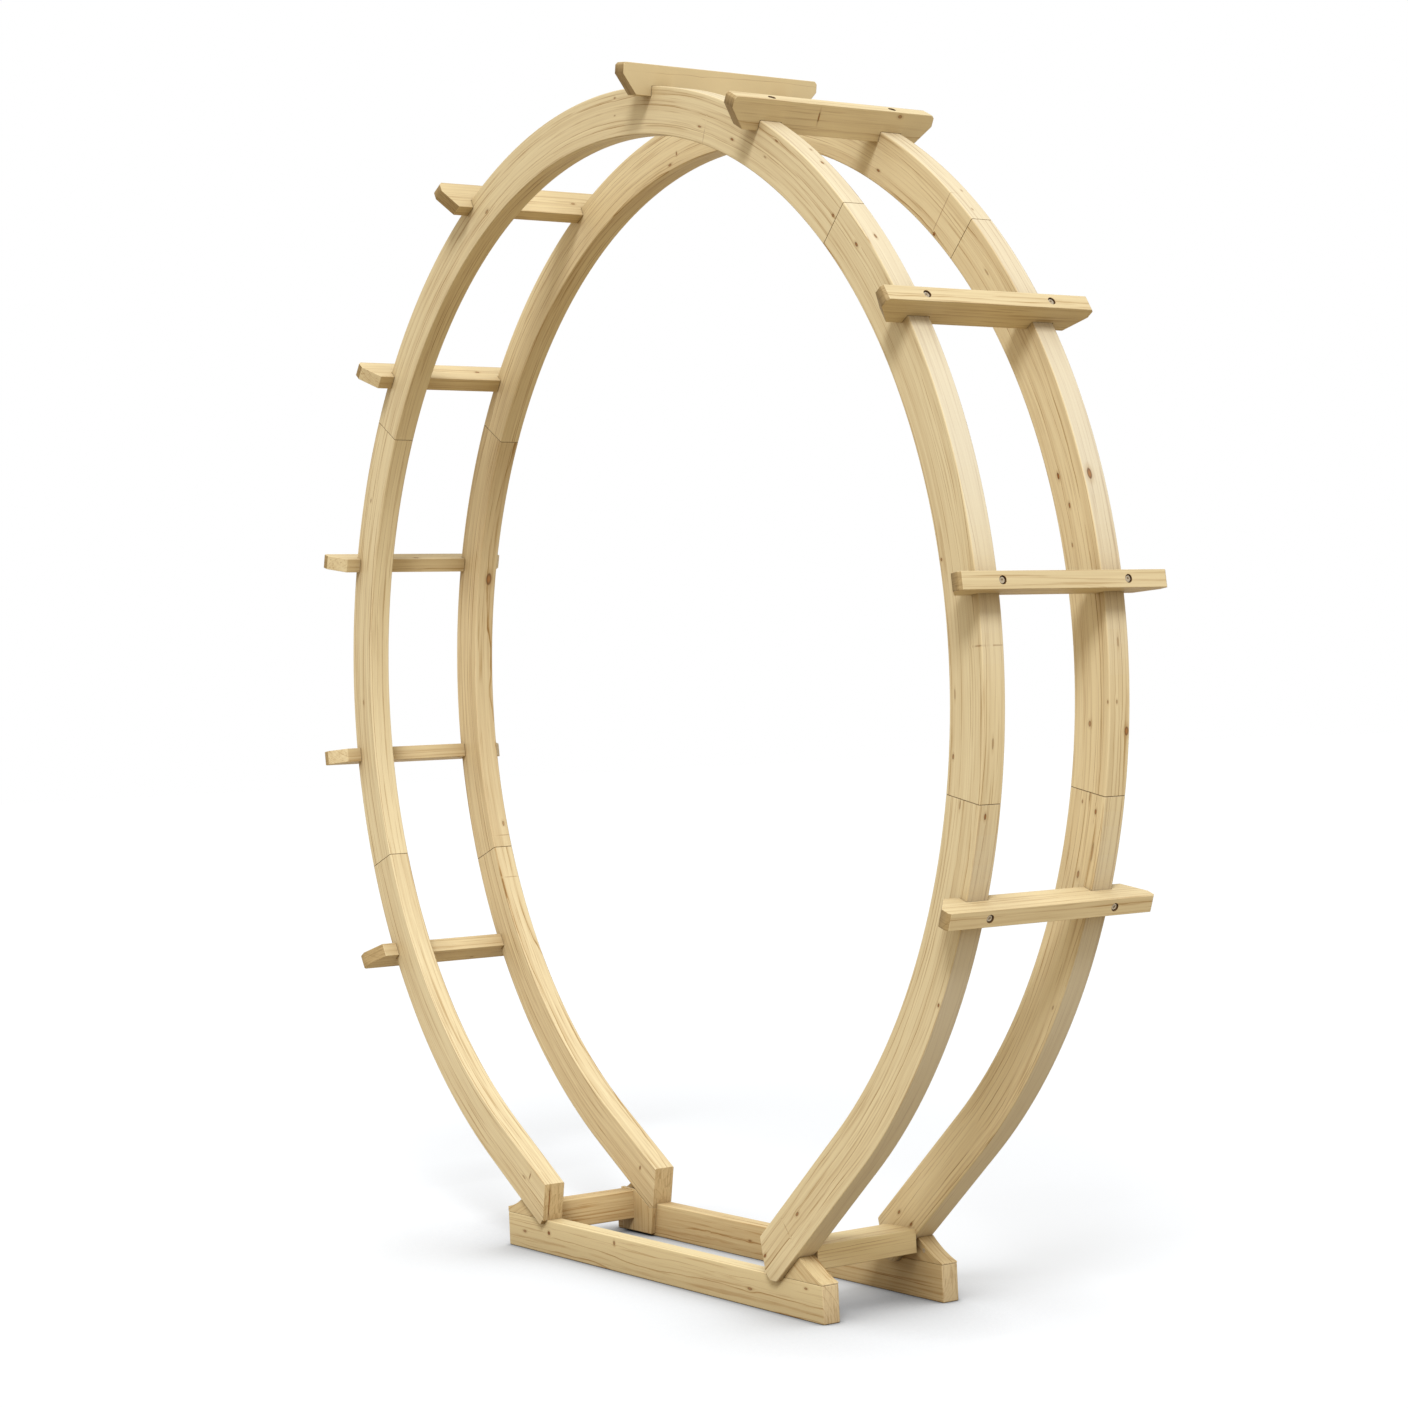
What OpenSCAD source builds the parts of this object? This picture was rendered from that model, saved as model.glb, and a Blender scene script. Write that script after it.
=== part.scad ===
// Round garden arch: two laminated timber rings side by side, tied by ten notched
// slats, on a low base of two bearers, two cross rails and four wedges.
// Millimetres. The origin is on the floor, midway between the rings and under their
// centre. +X is to the right and +Z is up. The front ring is on the -Y side. Angles
// round a ring are in degrees from its top, clockwise as seen from the front.

/* [Rings] */
// Outer radius of both rings
ring_r = 1125; // [950:5:1400]
// Width of the ring timber, from its inner to its outer edge
ring_w = 88; // [80:1:110]
// Thickness of the ring timber, front to back
ring_t = 45; // [42:1:60]
// Clear distance between the two rings
ring_gap = 218; // [170:1:300]
// Height above the floor of the rings' lowest point, if they ran all the way round
ring_lift = 15; // [13:0.5:17]
// Size of the chamfer along all long edges of the timber
arris = 2; // [1:0.5:3]

/* [Ring joints] */
// Joint between the left leg and the left side piece
joint_lower_left = -109; // [-111:0.5:-107]
// Joint between the left side piece and the crown
joint_upper_left = -57; // [-60:0.5:-57]
// Joint between the crown and the right side piece, front ring
joint_upper_right_front = 46; // [44:0.5:50]
// Joint between the crown and the right side piece, rear ring
joint_upper_right_rear = 47; // [44:0.5:50]
// Joint between the right side piece and the right leg
joint_lower_right = 102; // [98:0.5:103]
// Diameter of the dowels across a ring joint
ring_dowel_d = 12; // [8:1:14]
// Length of the dowels across a ring joint
ring_dowel_len = 90; // [60:5:100]
// Distance between the two dowels of a ring joint
ring_dowel_pitch = 40; // [30:1:46]

/* [Legs] */
// From the middle of the base to the inner end of a foot, at the bearer's top
foot_inner = 400; // [396:1:406]
// Length of a right foot along the bearer's top
foot_len_right = 42.5; // [38:0.5:46]
// Length of a left foot along the bearer's top
foot_len_left = 30; // [26:0.5:36]
// Slant of the inner end of a foot, from upright
foot_tilt = 12; // [6:1:16]
// How far the cheek of a foot laps down over the bearer's front face
foot_lap = 8; // [5:1:20]
// Chamfer on the inner corner of the cheek's tip
foot_tip_cut = 10; // [4:1:14]

/* [Base] */
// How far the base sits to the right of the rings' centre line
base_shift = 30; // [26:1:34]
// Length of a bearer
bearer_len = 1120; // [1100:5:1240]
// Height of a bearer
bearer_h = 68; // [64:1:72]
// Thickness of a bearer
bearer_t = 35; // [32:1:38]

/* [Wedges] */
// Height of the right wedges where they meet the leg
wedge_h_right = 42; // [36:1:48]
// Height of the left wedges where they meet the leg
wedge_h_left = 38; // [34:1:46]
// Height left at the outer end of the right wedges
wedge_tip_right = 3; // [2:1:10]
// Height left at the outer end of the left wedges
wedge_tip_left = 11; // [2:1:14]
// How far the hollow top of a wedge dips below a straight line
wedge_dip = 4; // [2:0.5:6]

/* [Cross rails] */
// Width of the flat right rail
right_rail_w = 85; // [70:1:90]
// Height of the flat right rail
right_rail_h = 44; // [38:1:48]
// Height of the right rail's underside above the floor
right_rail_z = 83; // [80:1:90]
// From the inner end of a foot to the outer face of the right rail
right_rail_out = 100; // [95:1:104]
// Width of the upright left rail
left_rail_w = 45; // [40:1:50]
// Height of the upright left rail
left_rail_h = 59; // [50:1:62]
// Height of the left rail's underside above the floor
left_rail_z = 30; // [20:1:34]
// From the inner end of a foot to the inner face of the left rail
left_rail_in = 77; // [72:1:82]
// Diameter of the dowels in the rails' ends
rail_dowel_d = 10; // [8:1:12]
// Length of the dowels in the rails' ends
rail_dowel_len = 45; // [36:1:50]
// How deep a rail dowel goes into the leg or the bearer
rail_dowel_in = 20; // [15:1:22]

/* [Slats] */
// Length of a slat, front to back
slat_len = 436; // [390:2:520]
// Width of a slat, along the ring's radius
slat_w = 58; // [50:1:70]
// Thickness of a slat, along the ring's edge
slat_t = 30; // [26:1:36]
// Depth of the notches that sit over the rings
slat_notch = 19; // [12:1:24]
// Length of the bevel on the inner corners of a slat
slat_bevel_len = 31; // [20:1:40]
// Height of the bevel on the inner corners of a slat
slat_bevel_h = 37; // [24:1:42]
// Chamfer on the outer corners of a slat
slat_corner = 5; // [2:1:10]
// Angle of slat 1, low on the left
slat_1_at = -119.5; // [-124:0.5:-117]
// Angle of slat 2
slat_2_at = -96; // [-101:0.5:-90]
// Angle of slat 3
slat_3_at = -74; // [-80:0.5:-68]
// Angle of slat 4
slat_4_at = -51.5; // [-52:0.5:-46]
// Angle of slat 5
slat_5_at = -26; // [-34:0.5:-16]
// Angle of slat 6, just right of the top
slat_6_at = 11; // [0:0.5:20]
// Angle of slat 7
slat_7_at = 30; // [25:0.5:36]
// Angle of slat 8
slat_8_at = 59; // [57:0.5:66]
// Angle of slat 9
slat_9_at = 84; // [76:0.5:90]
// Angle of slat 10, low on the right
slat_10_at = 111; // [110:0.5:118]

/* [Screws] */
// Shank diameter of the slat screws and foot screws
screw_d = 6; // [5:0.5:7]
// Head diameter of the slat screws and foot screws
screw_head_d = 11.5; // [10:0.5:12.5]
// Head height of the slat screws and foot screws
screw_head_h = 5; // [3:0.5:6]
// Diameter of the holes that the screw heads sink into
screw_sink_d = 13.5; // [13:0.5:16]
// How far a slat screw's head lies below the slat's outer face
screw_recess = 2; // [1:0.5:4]
// How far a slat screw goes into the ring
screw_in_ring = 42; // [30:1:60]
// Width across the flats of the hexagon socket in a head
screw_socket = 5; // [4:0.5:6]
// How far a foot screw's head lies above the bearer's underside
foot_screw_recess = 5; // [3:0.5:12]
// How far a leg screw goes up into the leg
leg_screw_in = 50; // [35:1:60]
// How far a wedge screw goes up into the wedge
wedge_screw_in = 22; // [16:1:24]
// Head diameter of the small screw in the rear right wedge
pin_head_d = 8; // [6:0.5:9]
// Shank diameter of the small screw in the rear right wedge
pin_d = 4; // [3:0.5:5]
// Length of the small screw in the rear right wedge
pin_len = 28; // [20:1:30]

/* [Hidden] */

// Clearance round a dowel or a screw shank
bore_clear = 0.2;
// Air left past the end of a dowel or a screw
end_clear = 1;
// Clearance between a ring and the sides of a slat's notch
notch_clear = 0.3;
// How far a cutting shape reaches past what it cuts
over = 5;
// Height that the foot plate keeps above the floor
plate_lift = 5;
// How far the foot plate reaches past the left rail on each free side
plate_margin = 3;
// Distances from the right rail's inner face to its dowels' centres
right_dowel_at = [18, 55];
// Distances from the left rail's outer face to its dowels' centres
left_dowel_at = [12, 33];
// Distance from the left rail's underside to its dowels' centres
left_dowel_up = 18;
// From the foot's inner end to the leg screw, along the bearer
leg_screw_at = 17;
// From the foot's outer end to the wedge screw, along the bearer
wedge_screw_at = 26;
// From the right rail's outer face to the small screw in the wedge
pin_at = 8;
// Height of the small screw in the wedge above the bearer's top
pin_up = 20;
// Thickness of the small screw's head
pin_head_h = 2;

ring_z = ring_r + ring_lift;
ring_in = ring_r - ring_w;
ring_mid = ring_r - ring_w / 2;
foot_lip = ring_t - bearer_t;
lap_z = bearer_h - foot_lap;
// Faces of the two rings along Y: each ring runs from its own face to that plus ring_t
front_y = -ring_gap / 2 - ring_t;
rear_y = ring_gap / 2;
bearer_in_y = foot_lip + bearer_t / 2;
slat_out = ring_r - slat_notch + slat_w;
slat_in = slat_out - slat_w;
slat_angles = [
    slat_1_at, slat_2_at, slat_3_at, slat_4_at, slat_5_at,
    slat_6_at, slat_7_at, slat_8_at, slat_9_at, slat_10_at];
front_joints = [joint_lower_left, joint_upper_left, joint_upper_right_front, joint_lower_right];
rear_joints = [joint_lower_left, joint_upper_left, joint_upper_right_rear, joint_lower_right];
sink_depth = screw_recess + screw_head_h;
foot_sink_depth = foot_screw_recess + screw_head_h;
// Faces of the two rails along X
right_rail_x1 = base_shift + foot_inner + right_rail_out;
right_rail_x0 = right_rail_x1 - right_rail_w;
left_rail_x1 = base_shift - foot_inner - left_rail_in;
left_rail_x0 = left_rail_x1 - left_rail_w;
rail_dowel_out = rail_dowel_len - rail_dowel_in;
right_dowel_z = right_rail_z + right_rail_h / 2;
left_dowel_z = left_rail_z + left_dowel_up;
right_dowel_xs = [for (d = right_dowel_at) right_rail_x0 + d];
left_dowel_xs = [for (d = left_dowel_at) left_rail_x0 + d];
leg_screw_len = bearer_h - foot_sink_depth + leg_screw_in;
wedge_screw_len = bearer_h - foot_sink_depth + wedge_screw_in;
slat_screw_len = slat_out - sink_depth - ring_r + screw_in_ring;

timber = [0.86, 0.74, 0.53];
timber_pale = [0.90, 0.79, 0.58];
beech = [0.80, 0.62, 0.42];
steel = [0.50, 0.48, 0.45];

// Distances from the rings' centre line to a foot's ends, side 1 right, -1 left
function base_x(side) = side * base_shift;
function foot_x(side, z) = base_x(side) + foot_inner - (z - bearer_h) * tan(foot_tilt);
function foot_out(side) = foot_x(side, bearer_h) + (side > 0 ? foot_len_right : foot_len_left);
// Angle where a leg leaves the circle, to run straight down to its foot's outer end
function leg_angle(side) =
    let (x = foot_out(side), z = ring_z - bearer_h)
    atan2(x, -z) - acos(ring_r / norm([x, z]));
// Distance from the rings' centre line to a leg's outer line at the height z
function leg_out_x(side, z) = foot_out(side) - (z - bearer_h) / tan(leg_angle(side));
function wedge_h(side) = side > 0 ? wedge_h_right : wedge_h_left;
function wedge_tip(side) = side > 0 ? wedge_tip_right : wedge_tip_left;
// Distances from the rings' centre line to the two screws under a foot and its wedge
function leg_screw_x(side) = foot_x(side, bearer_h) + leg_screw_at;
function wedge_screw_x(side) = foot_out(side) + wedge_screw_at;

// ---- timber sections --------------------------------------------------------

// Rectangle from the origin to [w, h] with its four corners cut by c
module eased_rect(w, h, c = arris) {
    polygon([
        [c, 0], [w - c, 0], [w, c], [w, h - c],
        [w - c, h], [c, h], [0, h - c], [0, c]]);
}

// Outline in the XZ plane, made a plate from y to y + t
module upright(y, t) {
    translate([0, y + t, 0])
        rotate([90, 0, 0])
            linear_extrude(t)
                children();
}

// Turns a shape drawn with +Z along the ring's radius to the angle a on the ring
module on_ring(a) {
    translate([0, 0, ring_z])
        rotate([0, a, 0])
            children();
}

// Bar of the ring's section that follows the circle from angle a to angle b, and where
// straight isn't zero runs on from there by that length
module ring_bar(a, b, y, straight = 0) {
    translate([0, y + ring_t, ring_z])
        rotate([90, 0, 0])
            rotate([0, 0, 90 - b]) {
                rotate_extrude(angle = b - a, $fn = 360)
                    ring_section();
                if (straight > 0)
                    rotate([90, 0, 0])
                        linear_extrude(straight)
                            ring_section();
            }
}

// Section of the ring timber, as far from the origin as it is from the ring's centre
module ring_section() {
    translate([ring_in, 0])
        eased_rect(ring_w, ring_t);
}

// ---- fasteners and their holes ----------------------------------------------

// Screw along -Z with its head's underside at the origin
module screw(length, head_d, head_h, shank_d, socket) {
    tip = shank_d;
    difference() {
        cylinder(d = head_d, h = head_h, $fn = 48);
        translate([0, 0, head_h / 2])
            cylinder(d = socket / cos(30), h = head_h, $fn = 6);
    }
    translate([0, 0, tip - length])
        cylinder(d = shank_d, h = length - tip, $fn = 32);
    translate([0, 0, -length])
        cylinder(d1 = shank_d / 4, d2 = shank_d, h = tip, $fn = 32);
}

// Round hole along Z from z0 to z1
module hole(d, z0, z1) {
    translate([0, 0, z0])
        cylinder(d = d, h = z1 - z0, $fn = 48);
}

// Calls its children at the two dowel places of the ring joint at angle a, along X
module at_ring_dowels(a, y) {
    for (side = [-1, 1])
        on_ring(a)
            translate([0, y + ring_t / 2, ring_mid + side * ring_dowel_pitch / 2])
                rotate([0, 90, 0])
                    children();
}

// Dowel holes that a ring piece has at the joint at angle a
module ring_dowel_holes(a, y) {
    reach = ring_dowel_len / 2 + end_clear;
    at_ring_dowels(a, y)
        hole(ring_dowel_d + 2 * bore_clear, -reach, reach);
}

// Holes for the slat screws that fall between angles a and b
module slat_screw_holes(a, b, y) {
    for (s = slat_angles)
        if (s > a && s < b)
            on_ring(s)
                translate([0, y + ring_t / 2, 0])
                    hole(screw_d + 2 * bore_clear, ring_r - screw_in_ring - end_clear, ring_r + over);
}

// Calls its children, standing along Z, at the foot screw at x on the given side
module at_foot_screw(side, x, y) {
    translate([side * x, y + bearer_in_y, foot_sink_depth])
        children();
}

// Calls its children, along Y, at each end dowel of both rails that touches the ring at y
module at_rail_dowels(y, right, left) {
    face = y < 0 ? y + ring_t : y;
    out = y < 0 ? 1 : -1;
    if (right)
        for (x = right_dowel_xs)
            translate([x, face, right_dowel_z])
                rotate([-90 * out, 0, 0])
                    children();
    if (left)
        for (x = left_dowel_xs)
            translate([x, face, left_dowel_z])
                rotate([-90 * out, 0, 0])
                    children();
}

// Holes for the rail dowels, both into the rail and into what it butts against
module rail_dowel_holes(y, right = true, left = true) {
    at_rail_dowels(y, right, left)
        hole(
            rail_dowel_d + 2 * bore_clear,
            -rail_dowel_in - end_clear,
            rail_dowel_out + end_clear);
}

// ---- ring pieces ------------------------------------------------------------

// Curved ring piece between two joints
module ring_piece(a, b, y) {
    color(timber)
        difference() {
            ring_bar(a, b, y);
            ring_dowel_holes(a, y);
            ring_dowel_holes(b, y);
            slat_screw_holes(a, b, y);
        }
}

// The region inside a foot's slanted inner end, from the floor to above the leg's inner edge
module foot_end(y) {
    top = ring_z;
    upright(y - over, ring_t + 2 * over)
        polygon([
            [0, -over], [foot_x(1, -over), -over],
            [foot_x(1, top), top], [0, top]]);
}

// Leg of the right side, with its foot, from the joint at angle a down
module right_leg(a, y, line, shift, tip_cut) {
    // Straight part, long enough to run out below the floor
    length = (ring_z + ring_r * cos(line)) / sin(line);
    tip_x = shift + foot_inner + foot_lap * tan(foot_tilt);
    difference() {
        ring_bar(a, line, y, length);
        translate([0, y + foot_lip, -length])
            cube([ring_r, ring_t, length + bearer_h]);
        translate([0, y - over, -length])
            cube([ring_r, ring_t + 2 * over, length + lap_z]);
        translate([shift - base_shift, 0, 0])
            foot_end(y);
        if (tip_cut > 0)
            translate([tip_x, y - over, lap_z])
                rotate([0, 45, 0])
                    cube([tip_cut * sqrt(2), 2 * ring_t, tip_cut * sqrt(2)], center = true);
    }
}

// Leg of either side: the left one is the mirror of a right one with its own line
module leg(side, joint, y, tip_cut = foot_tip_cut) {
    color(timber)
        difference() {
            mirror([side > 0 ? 0 : 1, 0, 0])
                right_leg(abs(joint), y, leg_angle(side), base_x(side), tip_cut);
            ring_dowel_holes(joint, y);
            leg_holes(side, joint, y);
        }
}

// Holes in a leg: slat screws, the screw from below and the rail's dowels
module leg_holes(side, joint, y) {
    a = side > 0 ? joint : -180;
    b = side > 0 ? 180 : joint;
    slat_screw_holes(a, b, y);
    at_foot_screw(side, leg_screw_x(side), y)
        hole(screw_d + 2 * bore_clear, -over, leg_screw_len + end_clear);
    rail_dowel_holes(y, left = false);
}

// Plate on the rear bearer's front face, under and beside the rear left leg's cheek.
// The left rail butts against it.
module foot_plate() {
    x0 = left_rail_x0 - plate_margin;
    top = left_rail_z + left_rail_h + plate_margin;
    color(timber)
        difference() {
            upright(rear_y, foot_lip)
                polygon([
                    [x0, plate_lift], [-foot_x(-1, plate_lift), plate_lift],
                    [-foot_x(-1, lap_z), lap_z], [-leg_out_x(-1, lap_z), lap_z],
                    [-leg_out_x(-1, top), top], [x0, top]]);
            rail_dowel_holes(rear_y, right = false);
        }
}

// The foot plate carries this foot's inner edge on down, so its tip stays square
module rear_leg_left() { leg(-1, joint_lower_left, rear_y, tip_cut = 0); }
module front_leg_left() { leg(-1, joint_lower_left, front_y); }
module front_side_left() { ring_piece(joint_lower_left, joint_upper_left, front_y); }
module front_crown() { ring_piece(joint_upper_left, joint_upper_right_front, front_y); }
module front_side_right() { ring_piece(joint_upper_right_front, joint_lower_right, front_y); }
module front_leg_right() { leg(1, joint_lower_right, front_y); }
module rear_side_left() { ring_piece(joint_lower_left, joint_upper_left, rear_y); }
module rear_crown() { ring_piece(joint_upper_left, joint_upper_right_rear, rear_y); }
module rear_side_right() { ring_piece(joint_upper_right_rear, joint_lower_right, rear_y); }
module rear_leg_right() { leg(1, joint_lower_right, rear_y); }

// ---- base -------------------------------------------------------------------

// Block from the origin to size with all twelve edges chamfered
module eased_block(size) {
    intersection() {
        linear_extrude(size.z)
            eased_rect(size.x, size.y);
        translate([0, size.y, 0])
            rotate([90, 0, 0])
                linear_extrude(size.y)
                    eased_rect(size.x, size.z);
        rotate([90, 0, 90])
            linear_extrude(size.x)
                eased_rect(size.y, size.z);
    }
}

// Bearer under the ring at y, with the holes for its screws and the left rail's dowels
module bearer(y) {
    color(timber)
        difference() {
            translate([base_shift - bearer_len / 2, y + foot_lip, 0])
                eased_block([bearer_len, bearer_t, bearer_h]);
            for (side = [-1, 1])
                for (x = [leg_screw_x(side), wedge_screw_x(side)])
                    at_foot_screw(side, x, y) {
                        hole(screw_sink_d, -foot_sink_depth - over, 0);
                        hole(screw_d + 2 * bore_clear, -over, bearer_h);
                    }
            rail_dowel_holes(y, right = false);
        }
}

// Wedge between a leg's outer line and the bearer's end, with a hollow top
module wedge(side, y) {
    foot = [foot_out(side), bearer_h];
    peak = [leg_out_x(side, bearer_h + wedge_h(side)), bearer_h + wedge_h(side)];
    heel = [base_x(side) + bearer_len / 2, bearer_h];
    tip = [heel.x, bearer_h + wedge_tip(side)];
    span = norm(tip - peak);
    hollow_r = span * span / (8 * wedge_dip) + wedge_dip / 2;
    slope = (tip - peak) / span;
    centre = (peak + tip) / 2 + [-slope.y, slope.x] * (hollow_r - wedge_dip);
    color(timber)
        mirror([side > 0 ? 0 : 1, 0, 0])
            difference() {
                upright(y + foot_lip, bearer_t)
                    polygon([foot, heel, tip, peak]);
                translate([centre.x, y + ring_t + over, centre.y])
                    rotate([90, 0, 0])
                        cylinder(r = hollow_r, h = ring_t + 2 * over, $fn = 360);
                at_foot_screw(1, wedge_screw_x(side), y)
                    hole(screw_d + 2 * bore_clear, 0, wedge_screw_len + end_clear);
            }
}

// Place of the small screw in the rear right wedge, along +Y from its face
module at_pin() {
    translate([right_rail_x1 + pin_at, rear_y + foot_lip, bearer_h + pin_up])
        rotate([90, 0, 0])
            children();
}

module front_wedge_left() { wedge(-1, front_y); }
module front_wedge_right() { wedge(1, front_y); }
module rear_wedge_left() { wedge(-1, rear_y); }
module rear_wedge_right() {
    color(timber)
        difference() {
            wedge(1, rear_y);
            at_pin() {
                hole(pin_head_d + 2 * bore_clear, -pin_head_h, over);
                hole(pin_d + 2 * bore_clear, -pin_len - end_clear, over);
            }
        }
}

module front_bearer() { bearer(front_y); }
module rear_bearer() { bearer(rear_y); }

// Rail from the front ring's back face to the rear ring's front face
module cross_rail(x, z, w, h) {
    color(timber_pale)
        difference() {
            translate([x + w, front_y + ring_t, z])
                rotate([90, 0, 180])
                    linear_extrude(ring_gap)
                        eased_rect(w, h);
            rail_dowel_holes(front_y);
            rail_dowel_holes(rear_y);
        }
}

module cross_rail_left() {
    cross_rail(left_rail_x0, left_rail_z, left_rail_w, left_rail_h);
}

module cross_rail_right() {
    cross_rail(right_rail_x0, right_rail_z, right_rail_w, right_rail_h);
}

// ---- slats ------------------------------------------------------------------

// Side outline of a slat: Y across, radius up, with the two notches and bevelled ends
module slat_outline() {
    end = slat_len / 2;
    outer = ring_gap / 2 + ring_t + notch_clear;
    inner = ring_gap / 2 - notch_clear;
    half = [
        [end - slat_corner, slat_out], [end, slat_out - slat_corner],
        [end, slat_in + slat_bevel_h], [end - slat_bevel_len, slat_in],
        [outer, slat_in], [outer, ring_r], [inner, ring_r], [inner, slat_in]];
    other = [for (i = [len(half) - 1:-1:0]) [-half[i].x, half[i].y]];
    polygon(concat(half, other));
}

// One slat at angle a, with the holes for its two screws
module slat(a) {
    color(timber_pale)
        on_ring(a)
            difference() {
                intersection() {
                    translate([-slat_t / 2, 0, 0])
                        rotate([90, 0, 90])
                            linear_extrude(slat_t)
                                slat_outline();
                    translate([-slat_t / 2, slat_len / 2 + over, slat_in])
                        rotate([90, 0, 0])
                            linear_extrude(slat_len + 2 * over)
                                eased_rect(slat_t, slat_w);
                }
                for (y = [front_y, rear_y])
                    translate([0, y + ring_t / 2, 0]) {
                        hole(screw_sink_d, slat_out - sink_depth, slat_out + over);
                        hole(screw_d + 2 * bore_clear, ring_r - over, slat_out);
                    }
            }
}

module slat_1() { slat(slat_1_at); }
module slat_2() { slat(slat_2_at); }
module slat_3() { slat(slat_3_at); }
module slat_4() { slat(slat_4_at); }
module slat_5() { slat(slat_5_at); }
module slat_6() { slat(slat_6_at); }
module slat_7() { slat(slat_7_at); }
module slat_8() { slat(slat_8_at); }
module slat_9() { slat(slat_9_at); }
module slat_10() { slat(slat_10_at); }

// ---- fasteners --------------------------------------------------------------

module slat_screws() {
    color(steel)
        for (a = slat_angles)
            for (y = [front_y, rear_y])
                on_ring(a)
                    translate([0, y + ring_t / 2, slat_out - sink_depth])
                        screw(slat_screw_len, screw_head_d, screw_head_h, screw_d, screw_socket);
}

// Screws from below through both bearers at x on one side
module foot_screws(side, x, length) {
    color(steel)
        for (y = [front_y, rear_y])
            at_foot_screw(side, x, y)
                mirror([0, 0, 1])
                    screw(length, screw_head_d, screw_head_h, screw_d, screw_socket);
}

module leg_screws() {
    for (side = [-1, 1])
        foot_screws(side, leg_screw_x(side), leg_screw_len);
}

module wedge_screws() {
    for (side = [-1, 1])
        foot_screws(side, wedge_screw_x(side), wedge_screw_len);
}

module wedge_pin_screw() {
    color(steel)
        at_pin()
            translate([0, 0, -pin_head_h])
                screw(pin_len - pin_head_h, pin_head_d, pin_head_h, pin_d, pin_d / 2);
}

module ring_dowels(joints, y) {
    color(beech)
        for (a = joints)
            at_ring_dowels(a, y)
                hole(ring_dowel_d, -ring_dowel_len / 2, ring_dowel_len / 2);
}

module front_ring_dowels() { ring_dowels(front_joints, front_y); }
module rear_ring_dowels() { ring_dowels(rear_joints, rear_y); }

module rail_dowels() {
    color(beech)
        for (y = [front_y, rear_y])
            at_rail_dowels(y, true, true)
                hole(rail_dowel_d, -rail_dowel_in, rail_dowel_out);
}

front_leg_left();
front_side_left();
front_crown();
front_side_right();
front_leg_right();
rear_leg_left();
rear_side_left();
rear_crown();
rear_side_right();
rear_leg_right();
front_bearer();
rear_bearer();
front_wedge_left();
front_wedge_right();
rear_wedge_left();
rear_wedge_right();
cross_rail_left();
cross_rail_right();
foot_plate();
slat_1();
slat_2();
slat_3();
slat_4();
slat_5();
slat_6();
slat_7();
slat_8();
slat_9();
slat_10();
slat_screws();
leg_screws();
wedge_screws();
wedge_pin_screw();
front_ring_dowels();
rear_ring_dowels();
rail_dowels();
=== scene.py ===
import math
import random

import bmesh
import bpy
from mathutils import Matrix, Vector


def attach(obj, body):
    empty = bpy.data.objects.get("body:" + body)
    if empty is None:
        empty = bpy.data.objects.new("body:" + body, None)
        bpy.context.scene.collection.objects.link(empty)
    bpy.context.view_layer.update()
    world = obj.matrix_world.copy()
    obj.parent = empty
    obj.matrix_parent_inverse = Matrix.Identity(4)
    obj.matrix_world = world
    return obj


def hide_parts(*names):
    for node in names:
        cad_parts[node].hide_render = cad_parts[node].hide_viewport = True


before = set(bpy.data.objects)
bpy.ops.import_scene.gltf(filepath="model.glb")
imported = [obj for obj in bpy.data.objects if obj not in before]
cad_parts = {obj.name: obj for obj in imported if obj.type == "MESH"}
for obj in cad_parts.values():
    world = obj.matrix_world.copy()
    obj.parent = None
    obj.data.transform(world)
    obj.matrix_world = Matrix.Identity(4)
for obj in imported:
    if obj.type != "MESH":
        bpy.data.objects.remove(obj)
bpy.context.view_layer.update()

# ---- sizes in millimetres, the same as the solids' ----
MM = 0.001
RING_R = 1125
RING_W = 88
RING_T = 45
RING_GAP = 218
RING_LIFT = 15
RING_Z = RING_R + RING_LIFT
RING_IN = RING_R - RING_W
RING_MID = RING_R - RING_W / 2
LAYERS = 4

JOINT_LOWER_LEFT = -109
JOINT_UPPER_LEFT = -57
JOINT_UPPER_RIGHT = {"front": 46, "rear": 47}
JOINT_LOWER_RIGHT = 102

BASE_SHIFT = 30
FOOT_INNER = 400
FOOT_LEN = {"right": 42.5, "left": 30}
FOOT_TILT = 12
FOOT_LAP = 8
FOOT_TIP_CUT = 10
BEARER_LEN = 1120
BEARER_H = 68
BEARER_T = 35
FOOT_LIP = RING_T - BEARER_T
LAP_Z = BEARER_H - FOOT_LAP

WEDGE_H = {"right": 42, "left": 38}
WEDGE_TIP = {"right": 3, "left": 11}
WEDGE_DIP = 4

RIGHT_RAIL = {"x": 445, "z": 83, "w": 85, "h": 44}
LEFT_RAIL = {"x": -492, "z": 30, "w": 45, "h": 59}
PLATE_LIFT = 5
PLATE_MARGIN = 3
PLATE_RIGHT = -370
PLATE_BOARD = 120

SLAT_LEN = 436
SLAT_W = 58
SLAT_T = 30
SLAT_NOTCH = 19
SLAT_BEVEL_LEN = 31
SLAT_BEVEL_H = 37
SLAT_CORNER = 5
SLAT_ANGLES = (-119.5, -96, -74, -51.5, -26, 11, 30, 59, 84, 111)
SLAT_OUT = RING_R - SLAT_NOTCH + SLAT_W
SLAT_IN = SLAT_OUT - SLAT_W
NOTCH_CLEAR = 0.3

SCREW_D = 6
SCREW_HEAD_D = 11.5
SCREW_HEAD_H = 5
SCREW_SINK_D = 13.5
SCREW_RECESS = 2
SCREW_IN_RING = 42
SCREW_SOCKET = 5
PIN = {"x": 538, "z": 88, "head_h": 2, "sink_d": 8.4}

SIDES = ("front", "rear")
FACE_Y = {"front": -RING_GAP / 2 - RING_T, "rear": RING_GAP / 2}
SIGN = {"right": 1, "left": -1}

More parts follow.
